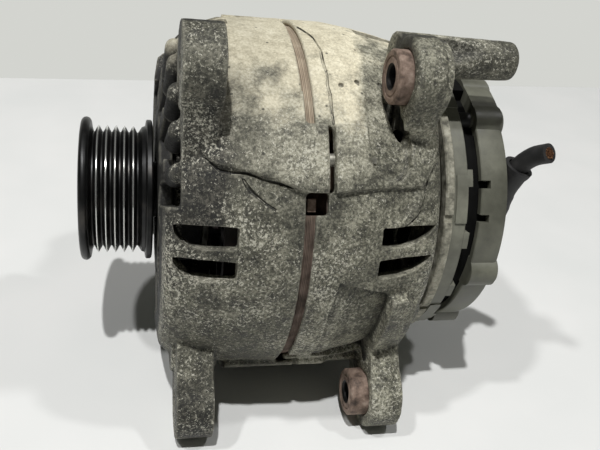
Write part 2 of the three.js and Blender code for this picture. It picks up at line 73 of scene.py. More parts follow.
def place_camera():
    along = Vector((1, 0, 0))
    towards = Vector((0, -math.cos(CAMERA_TILT), math.sin(CAMERA_TILT)))
    up = Vector((0, math.sin(CAMERA_TILT), math.cos(CAMERA_TILT)))
    ahead = math.sin(CAMERA_TURN) * along - math.cos(CAMERA_TURN) * towards
    right = math.cos(CAMERA_TURN) * along + math.sin(CAMERA_TURN) * towards
    forward = math.cos(CAMERA_PITCH) * ahead - math.sin(CAMERA_PITCH) * up
    top = math.cos(CAMERA_PITCH) * up + math.sin(CAMERA_PITCH) * ahead
    side = math.cos(CAMERA_ROLL) * right + math.sin(CAMERA_ROLL) * top
    top = -math.sin(CAMERA_ROLL) * right + math.cos(CAMERA_ROLL) * top
    data = bpy.data.cameras.new("camera")
    data.lens = CAMERA_LENS
    data.sensor_width = 36
    data.clip_start = 0.01
    camera = bpy.data.objects.new("camera", data)
    turn = Matrix((side, top, -forward)).transposed().to_4x4()
    camera.matrix_world = Matrix.Translation(Vector(CAMERA_PLACE) * MM) @ turn
    bpy.context.scene.collection.objects.link(camera)
    bpy.context.scene.camera = camera


place_camera()

# ---- shape tools ----


def on_body(x, angle, radius):
    """The point at an angle round the rotor, in millimetres."""
    a = math.radians(angle)
    return Vector((x, -radius * math.cos(a), radius * math.sin(a)))


def tidy(shape):
    bmesh.ops.remove_doubles(shape, verts=shape.verts, dist=WELD)
    bmesh.ops.recalc_face_normals(shape, faces=shape.faces)
    return shape


def spun(outline, steps=96):
    """A body turned round the rotor axis from [x, radius] points, closed on itself or the axis."""
    shape = bmesh.new()
    verts = [shape.verts.new((x, -radius, 0)) for x, radius in outline]
    if outline[0][1] > 0:
        verts.append(verts[0])
    edges = [shape.edges.new(pair) for pair in zip(verts, verts[1:])]
    bmesh.ops.spin(shape, geom=list(shape.verts) + edges, cent=(0, 0, 0), axis=(1, 0, 0),
                   angle=FULL_TURN, steps=steps, use_merge=True)
    return tidy(shape)


def cone(place, length, radius, end_radius, sides):
    """A round bar along Z, turned and moved to its place; it tapers if its end has a radius."""
    shape = bmesh.new()
    bmesh.ops.create_cone(shape, cap_ends=True, segments=sides, radius1=radius,
                          radius2=radius if end_radius is None else end_radius,
                          depth=length, matrix=place)
    return tidy(shape)


def bar(start, end, radius, y=0, z=0, end_radius=None, sides=40):
    """A round bar parallel to the rotor."""
    place = Matrix.Translation(((start + end) / 2, y, z)) @ Matrix.Rotation(math.pi / 2, 4, "Y")
    return cone(place, end - start, radius, end_radius, sides)


def rod(start, end, radius, end_radius=None, sides=20):
    """A round bar between two points."""
    start, end = Vector(start), Vector(end)
    turn = (end - start).to_track_quat("Z", "Y").to_matrix().to_4x4()
    place = Matrix.Translation((start + end) / 2) @ turn
    return cone(place, (end - start).length, radius, end_radius, sides)


def ball(centre, radius, sides=16):
    shape = bmesh.new()
    bmesh.ops.create_uvsphere(shape, u_segments=sides, v_segments=sides // 2, radius=radius,
                              matrix=Matrix.Translation(centre))
    return shape


def block(low, high, edge=0, segments=2):
    """A box between two corners, with its edges rounded."""
    shape = bmesh.new()
    low, high = Vector(low), Vector(high)
    bmesh.ops.create_cube(shape, size=1, matrix=Matrix.Translation((low + high) / 2)
                          @ Matrix.Diagonal((*(high - low), 1)))
    if edge:
        bmesh.ops.bevel(shape, geom=list(shape.edges), offset=edge, affect="EDGES",
                        segments=segments, profile=0.5, material=-1)
    return tidy(shape)


def extruded(points, along):
    """A straight-sided body: a flat outline, carried along a vector."""
    shape = bmesh.new()
    face = shape.faces.new([shape.verts.new(point) for point in points])
    grown = bmesh.ops.extrude_face_region(shape, geom=[face])
    moved = [v for v in grown["geom"] if isinstance(v, bmesh.types.BMVert)]
    bmesh.ops.translate(shape, verts=moved, vec=along)
    return shape


def prism(outline, start, end):
    """A flat plate square to the rotor, from an outline of [y, z] points."""
    return tidy(extruded([(start, y, z) for y, z in outline], (end - start, 0, 0)))


def wedge(start, end, angle, half, inner, outer, steps=12):
    """Part of a ring between two radii, reaching half its angle to each side."""
    turns = [angle - half + 2 * half * i / steps for i in range(steps + 1)]
    outline = [on_body(0, a, outer).yz for a in turns]
    outline += [on_body(0, a, inner).yz for a in reversed(turns)]
    return prism(outline, start, end)


def punch(outline, angle, inner, outer):
    """A plug that points away from the rotor, from an outline of [x, across] points."""
    shape = extruded([(x, -inner, across) for x, across in outline], (0, inner - outer, 0))
    bmesh.ops.rotate(shape, verts=shape.verts, cent=(0, 0, 0),
                     matrix=Matrix.Rotation(-math.radians(angle), 3, "X"))
    return tidy(shape)


def oblong(start, end, half):
    """The outline of a punch that is a plain rectangle."""
    return [(start, -half), (end, -half), (end, half), (start, half)]


def wrapped(outline, surface, low, high):
    """A patch bent round the body, from an outline of [x, angle] points.

    surface(x, angle) is the radius it follows, and low and high are its depth below and
    height above that.
    """
    shape = extruded([(x, angle, 0) for x, angle in outline], (0, 0, 1))
    for axis, step in ((0, 3), (1, 2.5)):
        values = [point[axis] for point in outline]
        cut = min(values) + step
        while cut < max(values):
            normal = Vector((axis == 0, axis == 1, 0))
            geom = list(shape.verts) + list(shape.edges) + list(shape.faces)
            bmesh.ops.bisect_plane(shape, geom=geom, dist=1e-5, plane_co=normal * cut,
                                   plane_no=normal)
            cut += step
    bmesh.ops.triangulate(shape, faces=shape.faces)
    for vert in shape.verts:
        x, angle, level = vert.co
        vert.co = on_body(x, angle, surface(x, angle) + (high if level > 0.5 else low))
    return tidy(shape)


def groove(points, surface, radius, sink=0):
    """Rods and balls of uneven width along [x, angle] points, to cut or to add."""
    path = [on_body(x, angle, surface(x, angle) - sink) for x, angle in points]
    widths = [radius * (0.75 + 0.5 * abs(math.sin(2.3 * i))) for i in range(len(path))]
    shapes = [rod(a, b, wide, next_wide, 12)
              for a, b, wide, next_wide in zip(path, path[1:], widths, widths[1:])]
    return shapes + [ball(place, wide, 12) for place, wide in zip(path, widths)]


def joined(*shapes):
    """Several separate shapes in one."""
    whole = bmesh.new()
    for shape in shapes:
        mesh = bpy.data.meshes.new("part")
        shape.to_mesh(mesh)
        whole.from_mesh(mesh)
        bpy.data.meshes.remove(mesh)
    return whole


def piece(name, shape, scale=MM, smooth=40):
    """A Blender object from a shape; faces that meet under the smooth angle are shaded smooth."""
    mesh = bpy.data.meshes.new(name)
    work = shape.copy()
    bmesh.ops.scale(work, verts=work.verts, vec=(scale,) * 3)
    for edge in work.edges:
        edge.smooth = not (edge.is_manifold and edge.calc_face_angle(0) > math.radians(smooth))
    for face in work.faces:
        face.smooth = True
    work.to_mesh(mesh)
    work.free()
    made = bpy.data.objects.new(name, mesh)
    bpy.context.scene.collection.objects.link(made)
    return made


def apply_modifiers(made):
    depsgraph = bpy.context.evaluated_depsgraph_get()
    mesh = bpy.data.meshes.new_from_object(made.evaluated_get(depsgraph))
    made.modifiers.clear()
    made.data = mesh
    return made


def carved(made, *steps):
    """Joins solids to a piece and cuts solids out of it; steps are (operation, shapes)."""
    tools = []
    for operation, shapes in steps:
        for shape in shapes:
            tool = piece("tool", shape, 1)
            cut = made.modifiers.new("cut", "BOOLEAN")
            cut.operation = operation
            cut.solver = "MANIFOLD"
            cut.object = tool
            tools.append(tool)
    apply_modifiers(made)
    for tool in tools:
        bpy.data.objects.remove(tool)
    return made


def machined(name, solid, *steps):
    return carved(piece(name, solid, 1), *steps)


def taken(made):
    """The shape of a piece, which is removed."""
    shape = bmesh.new()
    shape.from_mesh(made.data)
    bpy.data.objects.remove(made)
    return shape


def finished(made, smooth=35):
    """Scales a machined piece to metres and sets its shading."""
    name = made.name
    shape = taken(made)
    bmesh.ops.remove_doubles(shape, verts=shape.verts, dist=WELD)
    return piece(name, shape, MM, smooth)


def poured(made, cuts):
    """Gives a piece the soft edges and faint unevenness of a casting, then cuts it sharply."""
    remesh = made.modifiers.new("grain", "REMESH")
    remesh.mode = "VOXEL"
    remesh.voxel_size = CAST_VOXEL
    remesh.use_smooth_shade = True
    soften = made.modifiers.new("soften", "SMOOTH")
    soften.factor = 0.5
    soften.iterations = 1
    texture = bpy.data.textures.new("uneven", "CLOUDS")
    texture.noise_scale = 5
    texture.noise_depth = 3
    uneven = made.modifiers.new("uneven", "DISPLACE")
    uneven.texture = texture
    uneven.texture_coords = "LOCAL"
    uneven.strength = CAST_DENTS
    apply_modifiers(made)
    cutter = taken(machined("cutter", cuts[0], ("UNION", cuts[1:])))
    return finished(carved(made, ("DIFFERENCE", [cutter])), CAST_SMOOTH)


def stepped(points):
    """A function that runs straight from point to point."""
    def value(x):
        if x <= points[0][0]:
            return points[0][1]
        for (x0, y0), (x1, y1) in zip(points, points[1:]):
            if x <= x1:
                return y0 + (y1 - y0) * (x - x0) / (x1 - x0)
        return points[-1][1]
    return value


def clamp(value):
    return max(0.0, min(1.0, value))


# ---- materials ----


def colour(hex_value, alpha=1.0):
    """Turns an sRGB hex colour to the linear values that shaders take."""
    channels = [int(hex_value[i:i + 2], 16) / 255 for i in (1, 3, 5)]
    return (*[c / 12.92 if c <= 0.04045 else ((c + 0.055) / 1.055) ** 2.4 for c in channels],
            alpha)


def add(tree, kind, inputs=None, settings=None, stops=None, out=0):
    """Adds a node, sets its settings and inputs, links the inputs that are sockets."""
    made = tree.nodes.new("ShaderNode" + kind)
    for key, value in (settings or {}).items():
        setattr(made, key, value)
    for key, value in (inputs or {}).items():
        socket = made.inputs[key]
        if isinstance(value, bpy.types.NodeSocket):
            tree.links.new(value, socket)
        elif isinstance(value, str):
            socket.default_value = colour(value)
        else:
            socket.default_value = value
    if stops:
        ramp = made.color_ramp
        while len(ramp.elements) < len(stops):
            ramp.elements.new(1.0)
        for element, (place, shade) in zip(ramp.elements, stops):
            element.position = place
            element.color = colour(shade)
    return made.outputs[out]


def surface_of(name, metallic, roughness, **sockets):
    """A new material, the function that adds its nodes, its shader and object coordinates."""
    material = bpy.data.materials.new(name)
    material.use_nodes = True
    tree = material.node_tree
    shader = tree.nodes["Principled BSDF"]
    shader.inputs["Metallic"].default_value = metallic
    shader.inputs["Roughness"].default_value = roughness
    for key, value in sockets.items():
        shader.inputs[key.replace("_", " ")].default_value = value
    node = functools.partial(add, tree)
    return material, node, shader, node("TexCoord", out=3)


MIX = {"data_type": "RGBA"}
PLUS = {"operation": "ADD"}
LESS = {"operation": "SUBTRACT"}
TIMES = {"operation": "MULTIPLY"}


def noise(where, size, detail, roughness=0.5):
    """The inputs of a noise whose features are about a size in millimetres."""
    return {"Vector": where, "Scale": 1 / (size * MM), "Detail": detail, "Roughness": roughness}


def between(value, start, end, low=0.0, high=1.0):
    """The inputs of a range that runs from low at the start to high at the end."""
    return {0: value, 1: start, 2: end, 3: low, 4: high}


def in_millimetres(node, where):
    """The three coordinates of a place, and how far it is from the rotor's axis."""
    axes = [node("Math", {0: node("SeparateXYZ", {0: where}, out=i), 1: 1 / MM}, TIMES)
            for i in range(3)]
    squares = [node("Math", {0: axis, 1: axis}, TIMES) for axis in axes[1:]]
    radius = node("Math", {0: squares[0], 1: squares[1]}, PLUS)
    return *axes, node("Math", {0: radius, 1: 0.5}, {"operation": "POWER"})


def layered(node, base, *layers):
    """A colour with others laid over it: each layer is (how strongly, colour)."""
    for strength, shade in layers:
        base = node("Mix", {0: strength, 6: base, 7: shade}, MIX, out=2)
    return base


# Where the finish of the castings changes, in millimetres: the start and end of each change.
LUG_RADII = (78.5, 79.7)             # further from the axis than the body: a lug
LIGHT_HEIGHTS = (42, 56)
CROWN_HEIGHTS = (64, 74)
REAR_HOLLOW = (98, 104)              # beside the rear upper lug
OILY_END = (53.5, 47.5)
OILY_HEIGHTS = (22, 40)              # from the middle of the belt end, up and down
OILY_TOP = (86, 68)
LIFTED = (60, 105)                   # the rear casting is paler
BOSS_LENGTH = (128, 136)
INSIDE_RADII = (68.5, 66.0)
OPENING_PLACE = ((36.5, 34.0), (63.0, 60.0))     # along the rotor, and from its axis
BOSS_HOLLOW = (0, -38.5 * MM, 83.0 * MM)
HOLLOW_LENGTH = (125.5, 153)
HOLLOW_REACH = (8.2, 0.6)
SHEET = 0.65                         # thickness of one stator sheet
ROUGHNESS_SPREAD = 0.12


def cast_aluminium():
    """Die cast aluminium, years on an engine: dull, chalky oxide above, oily grime below,
    and white salt speckle all over. It has hardly any metal shine left."""
    material, node, shader, where = surface_of("cast_aluminium_oxidised", 0.1, 0.7)
    moved = [node("Mapping", {0: where, 1: offset}) for offset in ((9, 3, 5), (2, 7, 4))]
    stain = node("TexNoise", noise(where, 26, 4.0))
    patch = node("TexNoise", noise(where, 6, 7.0, 0.72))
    salt = node("TexNoise", noise(where, 1.1, 5.0, 0.8))
    soot = node("TexNoise", noise(moved[0], 3.0, 6.0, 0.75))
    grain = node("TexNoise", noise(moved[1], 1.0, 3.0, 0.7))
    fine = node("Math", {0: grain, 1: 0.5}, TIMES)
    tone = node("Math", {0: patch, 1: 0.5, 2: fine}, {"operation": "MULTIPLY_ADD"})
    pits = node("TexVoronoi", {"Vector": where, "Scale": 1 / (6 * MM)})
    x, _, z, radius = in_millimetres(node, where)

    # how high a place counts: the edges of the zones wander, and the hollow beside the rear
    # upper lug counts as lower, so it is greyer than the crown in front of it
    drift = node("Math", {0: stain, 1: 50.0, 2: -25.0}, {"operation": "MULTIPLY_ADD"})
    ragged = node("Math", {0: patch, 1: 16.0, 2: drift}, {"operation": "MULTIPLY_ADD"})
    height = node("Math", {0: z, 1: ragged}, PLUS)
    lower = node("MapRange", between(x, *REAR_HOLLOW, 0.0, -12.0))
    height = node("Math", {0: height, 1: lower}, PLUS)

    on_lug = node("MapRange", between(radius, *LUG_RADII))
    not_lug = node("Math", {0: 1.0, 1: on_lug}, LESS)
    crown = node("MapRange", between(height, *CROWN_HEIGHTS))
    crown = node("Math", {0: crown, 1: not_lug}, TIMES)
    light = node("MapRange", between(height, *LIGHT_HEIGHTS))
    light = node("Math", {0: light, 1: node("MapRange", {0: on_lug, 3: 1.0, 4: 0.1})}, TIMES)
    # oily grime on the belt end, thickest on the two lugs and thin between them
    oily = node("MapRange", between(x, *OILY_END))
    from_middle = node("Math", {0: height, 1: 10.0}, PLUS)
    from_middle = node("Math", {0: from_middle}, {"operation": "ABSOLUTE"})
    for share in (between(from_middle, *OILY_HEIGHTS, 0.15, 0.95),
                  between(height, *OILY_TOP, 0.25, 1.0)):
        oily = node("Math", {0: oily, 1: node("MapRange", share)}, TIMES)
    tints = [node("ValToRGB", {0: tone}, stops=stops) for stops in (
        [(0.40, "#2b2a24"), (0.5, "#545347"), (0.59, "#848273")],
        [(0.40, "#4f4d43"), (0.5, "#787667"), (0.59, "#a19e8e")],
        [(0.39, "#a09984"), (0.5, "#bab39c"), (0.60, "#cdc7b2")],
        [(0.42, "#0e0e0c"), (0.5, "#272620"), (0.59, "#5f5c53")])]
    body = layered(node, tints[0], (light, tints[1]), (crown, tints[2]), (oily, tints[3]))

    # broad washes, lighter and darker, hardly on the crown
    wash = node("MapRange", between(stain, 0.36, 0.64, 0.78, 1.18))
    wash = node("Mix", {0: crown, 2: wash, 3: 1.0})
    lift = node("MapRange", between(x, *LIFTED, 1.0, 1.42))
    boss = node("MapRange", between(x, *BOSS_LENGTH, 1.0, 0.58))
    lift = node("Math", {0: lift, 1: boss}, TIMES)
    wash = node("Math", {0: wash, 1: lift}, TIMES)
    body = node("HueSaturation", {"Color": body, "Value": wash})

    # soot and dirt in ragged patches, thin on the crown
    dirty = node("MapRange", between(soot, 0.47, 0.36, 0.0, 0.6))
    thin = node("MapRange", between(crown, 0.0, 0.8, 1.0, 0.12))
    dirty = node("Math", {0: dirty, 1: thin}, TIMES)
    # salt bloom, thicker in some patches than in others
    bloom = node("MapRange", between(stain, 0.40, 0.62, -0.05, 0.05))
    flecks = node("Math", {0: salt, 1: bloom}, PLUS)
    flecks = node("MapRange", between(flecks, 0.55, 0.61))
    thin = node("MapRange", between(crown, 0.0, 1.0, 0.85, 0.2))
    flecks = node("Math", {0: flecks, 1: thin}, TIMES)
    spots = node("MapRange", between(pits, 0.12, 0.07, 0.0, 0.8))
    # painted shade inside the castings, behind the vents
    inside_shade = node("MapRange", between(radius, *INSIDE_RADII))
    for ends in ((36, 38), (130, 128)):
        inside_shade = node("Math", {0: inside_shade, 1: node("MapRange", between(x, *ends))}, TIMES)
    # painted shade in and round the openings of the belt end
    openings = node("MapRange", between(x, *OPENING_PLACE[0], 0.0, 0.95))
    deep = node("MapRange", between(radius, *OPENING_PLACE[1]))
    openings = node("Math", {0: openings, 1: deep}, TIMES)
    # darker in the tapering hollow of the long boss
    across = node("VectorMath", {0: where, 1: (0, 1, 1)}, TIMES)
    across = node("VectorMath", {0: across, 1: BOSS_HOLLOW}, {"operation": "DISTANCE"}, out=1)
    reach = node("MapRange", between(x, *HOLLOW_LENGTH, *(size * MM for size in HOLLOW_REACH)))
    hollow = node("Math", {0: reach, 1: across}, LESS)
    hollow = node("MapRange", between(hollow, -0.3 * MM, 1.0 * MM, 0.0, 0.85))
    # painted shade and dirt in the corners, and wear on the edges
    curve = node("NewGeometry", out="Pointiness")
    corners = node("MapRange", between(curve, 0.488, 0.43, 0.0, 0.92))
    edges = node("MapRange", between(curve, 0.52, 0.60, 0.0, 0.5))
    body = layered(node, body, (dirty, "#26251f"), (flecks, "#cbc8b8"), (spots, "#2b2a24"),
                   (inside_shade, "#0c0b0a"), (openings, "#0f0e0c"), (hollow, "#1b1a16"),
                   (corners, "#12110f"), (edges, "#aeab9c"))
    dull = node("MapRange", between(patch, 0.3, 0.7, 0.5, 0.8))
    rough = node("Math", {0: salt, 1: soot}, PLUS)
    return covered(material, node, shader, body, dull, rough, 0.7, 0.5)


def covered(material, node, shader, tint, dull, height, strength, depth):
    """Joins a colour, a roughness and a bump of a depth in millimetres to the shader."""
    bump = node("Bump", {"Height": height, "Strength": strength, "Distance": depth * MM})
    for key, value in (("Base Color", tint), ("Roughness", dull), ("Normal", bump)):
        if value is not None:
            material.node_tree.links.new(value, shader.inputs[key])
    return material


def mottled(name, metallic, roughness, size, shades, fine=0.4, strength=0.25,
            shade_before=None, **sockets):
    """A surface whose colour wanders between shades in patches of a size in millimetres."""
    material, node, shader, where = surface_of(name, metallic, roughness, **sockets)
    patch = node("TexNoise", noise(where, size, 6.0, 0.62))
    places = [0.3 + 0.4 * i / (len(shades) - 1) for i in range(len(shades))]
    tint = node("ValToRGB", {0: patch}, stops=list(zip(places, shades)))
    # painted shade: black along the rotor before a given place, where a deep gap gets no light
    if shade_before:
        x = node("SeparateXYZ", {0: where})
        gap_shade = node("MapRange", between(x, shade_before * MM, (shade_before - 1) * MM))
        tint = layered(node, tint, (gap_shade, "#0b0b0a"))
    dull = node("MapRange", between(patch, 0.3, 0.7, roughness - ROUGHNESS_SPREAD,
                                    roughness + ROUGHNESS_SPREAD))
    grain = node("TexNoise", noise(where, fine, 3.0))
    return covered(material, node, shader, tint, dull, grain, strength, 0.3)


def rusted_laminations():
    """Thin stamped steel sheets stacked on edge: fine rings of rust, pinkish where it is dry."""
    material, node, shader, where = surface_of("stacked_sheet_steel_rusted", 0.2, 0.8)
    patch = node("TexNoise", noise(where, 7, 5.0))
    damp, dry = [node("ValToRGB", {0: patch}, stops=stops) for stops in (
        [(0.3, "#443a32"), (0.55, "#75655a"), (0.75, "#94847a")],
        [(0.3, "#978876"), (0.55, "#ab9d89"), (0.75, "#bbaf9b")])]
    z = node("SeparateXYZ", {0: where}, out=2)
    upper = node("MapRange", between(z, 25 * MM, 52 * MM))
    sheets = node("TexWave", {"Vector": where, "Scale": 1 / (SHEET * MM * FULL_TURN),
                              "Distortion": 0.3}, {"bands_direction": "X"})
    lines = node("MapRange", between(sheets, 0.35, 0.0, 0.0, 0.2))
    body = layered(node, damp, (upper, dry), (lines, "#2e241f"))
    return covered(material, node, shader, body, None, sheets, 0.5, 0.2)


def phosphated_pulley():
    """Turned steel, blackened by phosphating; the belt has polished the tips of the ribs."""
    material, node, shader, where = surface_of("phosphated_turned_steel", 0.85, 0.38)
    x, _, _, radius = in_millimetres(node, where)
    patch = node("TexNoise", noise(where, 9, 5.0))
    dark = node("ValToRGB", {0: patch},
                stops=[(0.3, "#1d1d1d"), (0.55, "#303030"), (0.75, "#4a4744")])
    tips = node("MapRange", between(radius, 26.55, 26.8))
    for ends in ((2.2, 2.6), (20.3, 19.9)):
        tips = node("Math", {0: tips, 1: node("MapRange", between(x, *ends))}, TIMES)
    body = layered(node, dark, (tips, "#e4e4e0"))
    polish = node("MapRange", between(tips, 0.0, 1.0, 0.38, 0.16))
    turned = [node("Math", {0: value, 1: MM}, TIMES) for value in (x, radius)]
    rings = node("TexNoise", noise(node("CombineXYZ", dict(enumerate(turned))), 0.5, 2.0))
    return covered(material, node, shader, body, polish, rings, 0.2, 0.1)

MATERIALS = {
    "cast": cast_aluminium(),
    "laminations": rusted_laminations(),
    "pulley": phosphated_pulley(),
    # rolled steel bushing, surface rust: matt and brown, lighter where it has been rubbed
    "rust": mottled("rolled_steel_rusted", 0.3, 0.78, 3.5,
                    ["#3c322c", "#6c5b50", "#8c796c", "#a69689"], strength=0.5),
    # machined steel gone dull
    "steel": mottled("machined_steel_dulled", 0.9, 0.42, 6,
                     ["#5d5c58", "#84827c", "#a3a19a"]),
    # oily steel of the spacer and claws; it also paints the shade in the bushings' bores
    "dark_steel": mottled("forged_steel_oily", 0.7, 0.5, 5, ["#141414", "#222221", "#34322f"]),
    # enamelled copper wire
    "copper": mottled("enamelled_copper_wire", 0.4, 0.5, 3, ["#0b0705", "#180e09", "#2b1a10"]),
    # bare copper rings, brown with carbon dust
    "rings": mottled("turned_copper_rings", 0.8, 0.35, 4, ["#5b3420", "#8a5334", "#a86b45"]),
    # zinc plating that has gone grey, with white bloom
    "zinc": mottled("zinc_plated_steel", 0.8, 0.45, 4, ["#77756c", "#9d9b90", "#bdbab0"]),
    # stamped aluminium heat sink, corroded white
    "sink": mottled("stamped_aluminium_corroded", 0.35, 0.7, 3,
                    ["#55534a", "#7d7b6e", "#a19e8f", "#bdbaab"], strength=0.5),
    # glass filled nylon, olive grey and dusty; painted black as shade on its legs in the gap before
    # x 153.5
    "cover": mottled("glass_filled_nylon_olive", 0.0, 0.5, 14,
                     ["#4b4b42", "#5c5c51", "#6c6c5f"], fine=0.8, strength=0.12,
                     shade_before=153.5),
    # the lighter grey ring that carries the terminals
    "carrier": mottled("glass_filled_nylon_grey", 0.0, 0.5, 12,
                       ["#55554b", "#67675c", "#79796c"], fine=0.8, strength=0.12),
    "black": mottled("moulded_nylon_black", 0.0, 0.5, 10, ["#171717", "#1f1f1e", "#292928"]),
    # the same nylon painted black as shade, where no light reaches
    "soot": mottled("moulded_nylon_painted_shade", 0.0, 0.8, 10, ["#0a0a0a", "#0e0e0d", "#121212"],
                    Specular_IOR_Level=0.1),
    "carbon": mottled("pressed_copper_graphite", 0.3, 0.6, 2, ["#2b2826", "#3b3633", "#4d453f"]),
    # extruded rubber sheath and moulded boot, dusty black
    "rubber": mottled("moulded_rubber_black", 0.0, 0.62, 8, ["#161616", "#1f1f1f", "#2d2c2b"],
                      fine=1.2, strength=0.2),
    # cut ends of bare copper strands
    "strands": mottled("drawn_copper_strands", 0.8, 0.35, 1,
                       ["#3a281e", "#8c6348", "#c99c76"]),
}


def dress(made, body, slot, finish, *stands_for):
    """Gives a piece its material and body and hides the CAD nodes that it stands for; the slot is
    not used.
    """
    made.data.materials.clear()
    made.data.materials.append(MATERIALS[finish])
    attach(made, body)
    if stands_for:
        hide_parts(*stands_for)
    return made


# ---- battery cable ----

CABLE_RADIUS = 4.15
CABLE_ROUTE = [
    (172.4, -29.2, -9.5), (172.8, -29.4, 1), (173.6, -29.7, 11.4), (175, -30.3, 22),
    (177.4, -32, 31.6), (180.3, -35.8, 39), (183.2, -41.6, 43.8),
]
CABLE_STEPS = 4                      # points on each stretch of the route


def smooth_route(points, steps):
    """Points on one smooth curve through the given points."""
    points = [Vector(p) for p in points]
    padded = [2 * points[0] - points[1], *points, 2 * points[-1] - points[-2]]
    route = []
    for a, b, c, d in zip(padded, padded[1:], padded[2:], padded[3:]):
        for i in range(steps):
            t = i / steps
            route.append(0.5 * (2 * b + (c - a) * t + (2 * a - 5 * b + 4 * c - d) * t ** 2
                                + (3 * b - a - 3 * c + d) * t ** 3))
    route.append(points[-1])
    return route


def tube(name, route, radius, bevel_sides=10):
    """A curve with a round section along a route in millimetres."""
    data = bpy.data.curves.new(name, "CURVE")
    data.dimensions = "3D"
    line = data.splines.new("POLY")
    line.points.add(len(route) - 1)
    for point, place in zip(line.points, route):
        point.co = (*(Vector(place) * MM), 1)
    data.bevel_depth = radius * MM
    data.bevel_resolution = bevel_sides
    data.use_fill_caps = True
    line.use_smooth = True
    made = bpy.data.objects.new(name, data)
    bpy.context.scene.collection.objects.link(made)
    return made


cable_route = smooth_route(CABLE_ROUTE, CABLE_STEPS)
cable = dress(tube("cable_sheath", cable_route, CABLE_RADIUS), "housing", "rubber", "rubber",
              "battery_cable")


def cable_strands():
    """The cut end: copper strands packed in rings, each a little longer or shorter."""
    random.seed(5)
    end = cable_route[-1]
    along = (end - cable_route[-2]).normalized()
    side = along.orthogonal().normalized()
    strands = []
    for ring, (count, distance) in enumerate(((1, 0), (6, 1.0), (12, 2.0))):
        for i in range(count):
            spin = Matrix.Rotation(FULL_TURN * i / count + 0.3 * ring, 3, along)
            foot = end + spin @ side * distance
            proud = 0.15 + 0.35 * random.random()
            strands.append(rod(foot - along * 1.5, foot + along * proud, 0.5, sides=10))
    return dress(piece("cable_strands", joined(*strands)), "housing", "copper", "strands")


strands = cable_strands()

# ---- driving dimensions of the castings ----

UPPER_BOLT = (58.9, 85.7)            # angle and radius of each lug's bolt
LOWER_BOLT = (-42.1, 90.1)
BOLT_HOLE = 4.2
BUSHING_SEAT = 10.1
LUG_TIP = 15
VENT_ANGLES = (16.7, 6.8, 95, 105, 172, 182)
PAD_ANGLES = (39, 129, 219, 309)
PAD_RADIUS = 77.6
SEAT_RADIUS = 72.8
COVER_SCREWS = (64, -50, 184)
COVER_LOBES = (64, 83, -6, -50, 184)
COVER_SCREW_RADIUS = 54.5
COVER_SCREW_PLACES = [on_body(0, angle, COVER_SCREW_RADIUS).yz for angle in COVER_SCREWS]
BOLT_CIRCLE = 72.8
PAD_HALF = 9.3                       # degrees to each side of a pad's middle
LONG_BOSS = (-30.5, 77.1)
WINDOW_ANGLES = (28.3, 42.3, 57, 71.6, 86)    # openings round the belt end
KNOB_ANGLES = (35.3, 49.6, 64.3, 79, 93)

FRONT_FACE = 28                      # along the rotor
FRONT_END = 77.4
TONGUE_END = 85.4                    # the front pads reach over the joint
PAD_GAP = (85.5, 87.7)               # shows the long bolt between the tongue and the pad
REAR_START = 81.1
REAR_END = 132.6
OUTLINE_STEPS = 144                  # facets round a casting or a rear ring
WINDOW_HALF = 4
NOTCH_ANGLE = 26.6
STACK = (62, 97.2)
STACK_RADII = (52.3, 72.3)

FRONT_TAPERED = [(FRONT_FACE, 33), (29, 44), (30.8, 57), (34.5, 64), (41, 70.4), (52, 74.2),
                 (FRONT_END, 75.4)]
FRONT_SQUARE = [(FRONT_FACE, 58), (29.3, 66.6), (32, 69.3), (42, 72.6), (60, 75)]
REAR_PROFILE = [(REAR_START, 75.2), (95, 75.2), (108, 73.6), (120, 71.2), (129, 69), (131.4, 67.2),
                (REAR_END, 64.8)]
front_radius = stepped(FRONT_SQUARE + [(FRONT_END, 75.4), (86, 75.4)])
rear_radius = stepped(REAR_PROFILE)


def on_front(x, angle):
    return front_radius(x)


def on_rear(x, angle):
    return rear_radius(x)


def bolt_place(bolt):
    return on_body(0, *bolt).yz


def lug(start, end, bolt, foot_width, tip=LUG_TIP, foot=64):
    """A plate with a round tip round its bolt, standing on the casting with a wider foot."""
    angle, radius = bolt
    spin = Matrix.Rotation(-math.radians(angle), 3, "X")
    outline = [(-foot, -foot_width[0])]
    for i in range(19):
        a = math.radians(-90 + 10 * i)
        outline.append((-radius - tip * math.cos(a), tip * math.sin(a)))
    outline.append((-foot, foot_width[1]))
    return prism([(spin @ Vector((0, y, z))).yz for y, z in outline], start, end)


def round_bosses(start, end, bolt, radius, end_radius=None):
    return bar(start, end, radius, *bolt_place(bolt), end_radius, 64)


# ---- front casting ----


def raised_field(x, angle):
    """The front casting rises to its bolt pad and fades out above it."""
    pad = stepped([(42, 74.2), (50, 75.4), (62, 77.2), (77, PAD_RADIUS), (86, PAD_RADIUS)])(x)
    fade = clamp((58 - angle) / 9) if x < 77.3 else 1
    return front_radius(x) + (pad - front_radius(x)) * fade


def flank(start, angle, half):
    """A part of the front casting that keeps its full width up to its front face."""
    square = spun([(FRONT_FACE, 0)] + FRONT_SQUARE + [(60, 0)], OUTLINE_STEPS)
    made = machined("flank", square, ("INTERSECT", [wedge(start, 61, angle, half, 20, 90, 30)]))
    return taken(made)


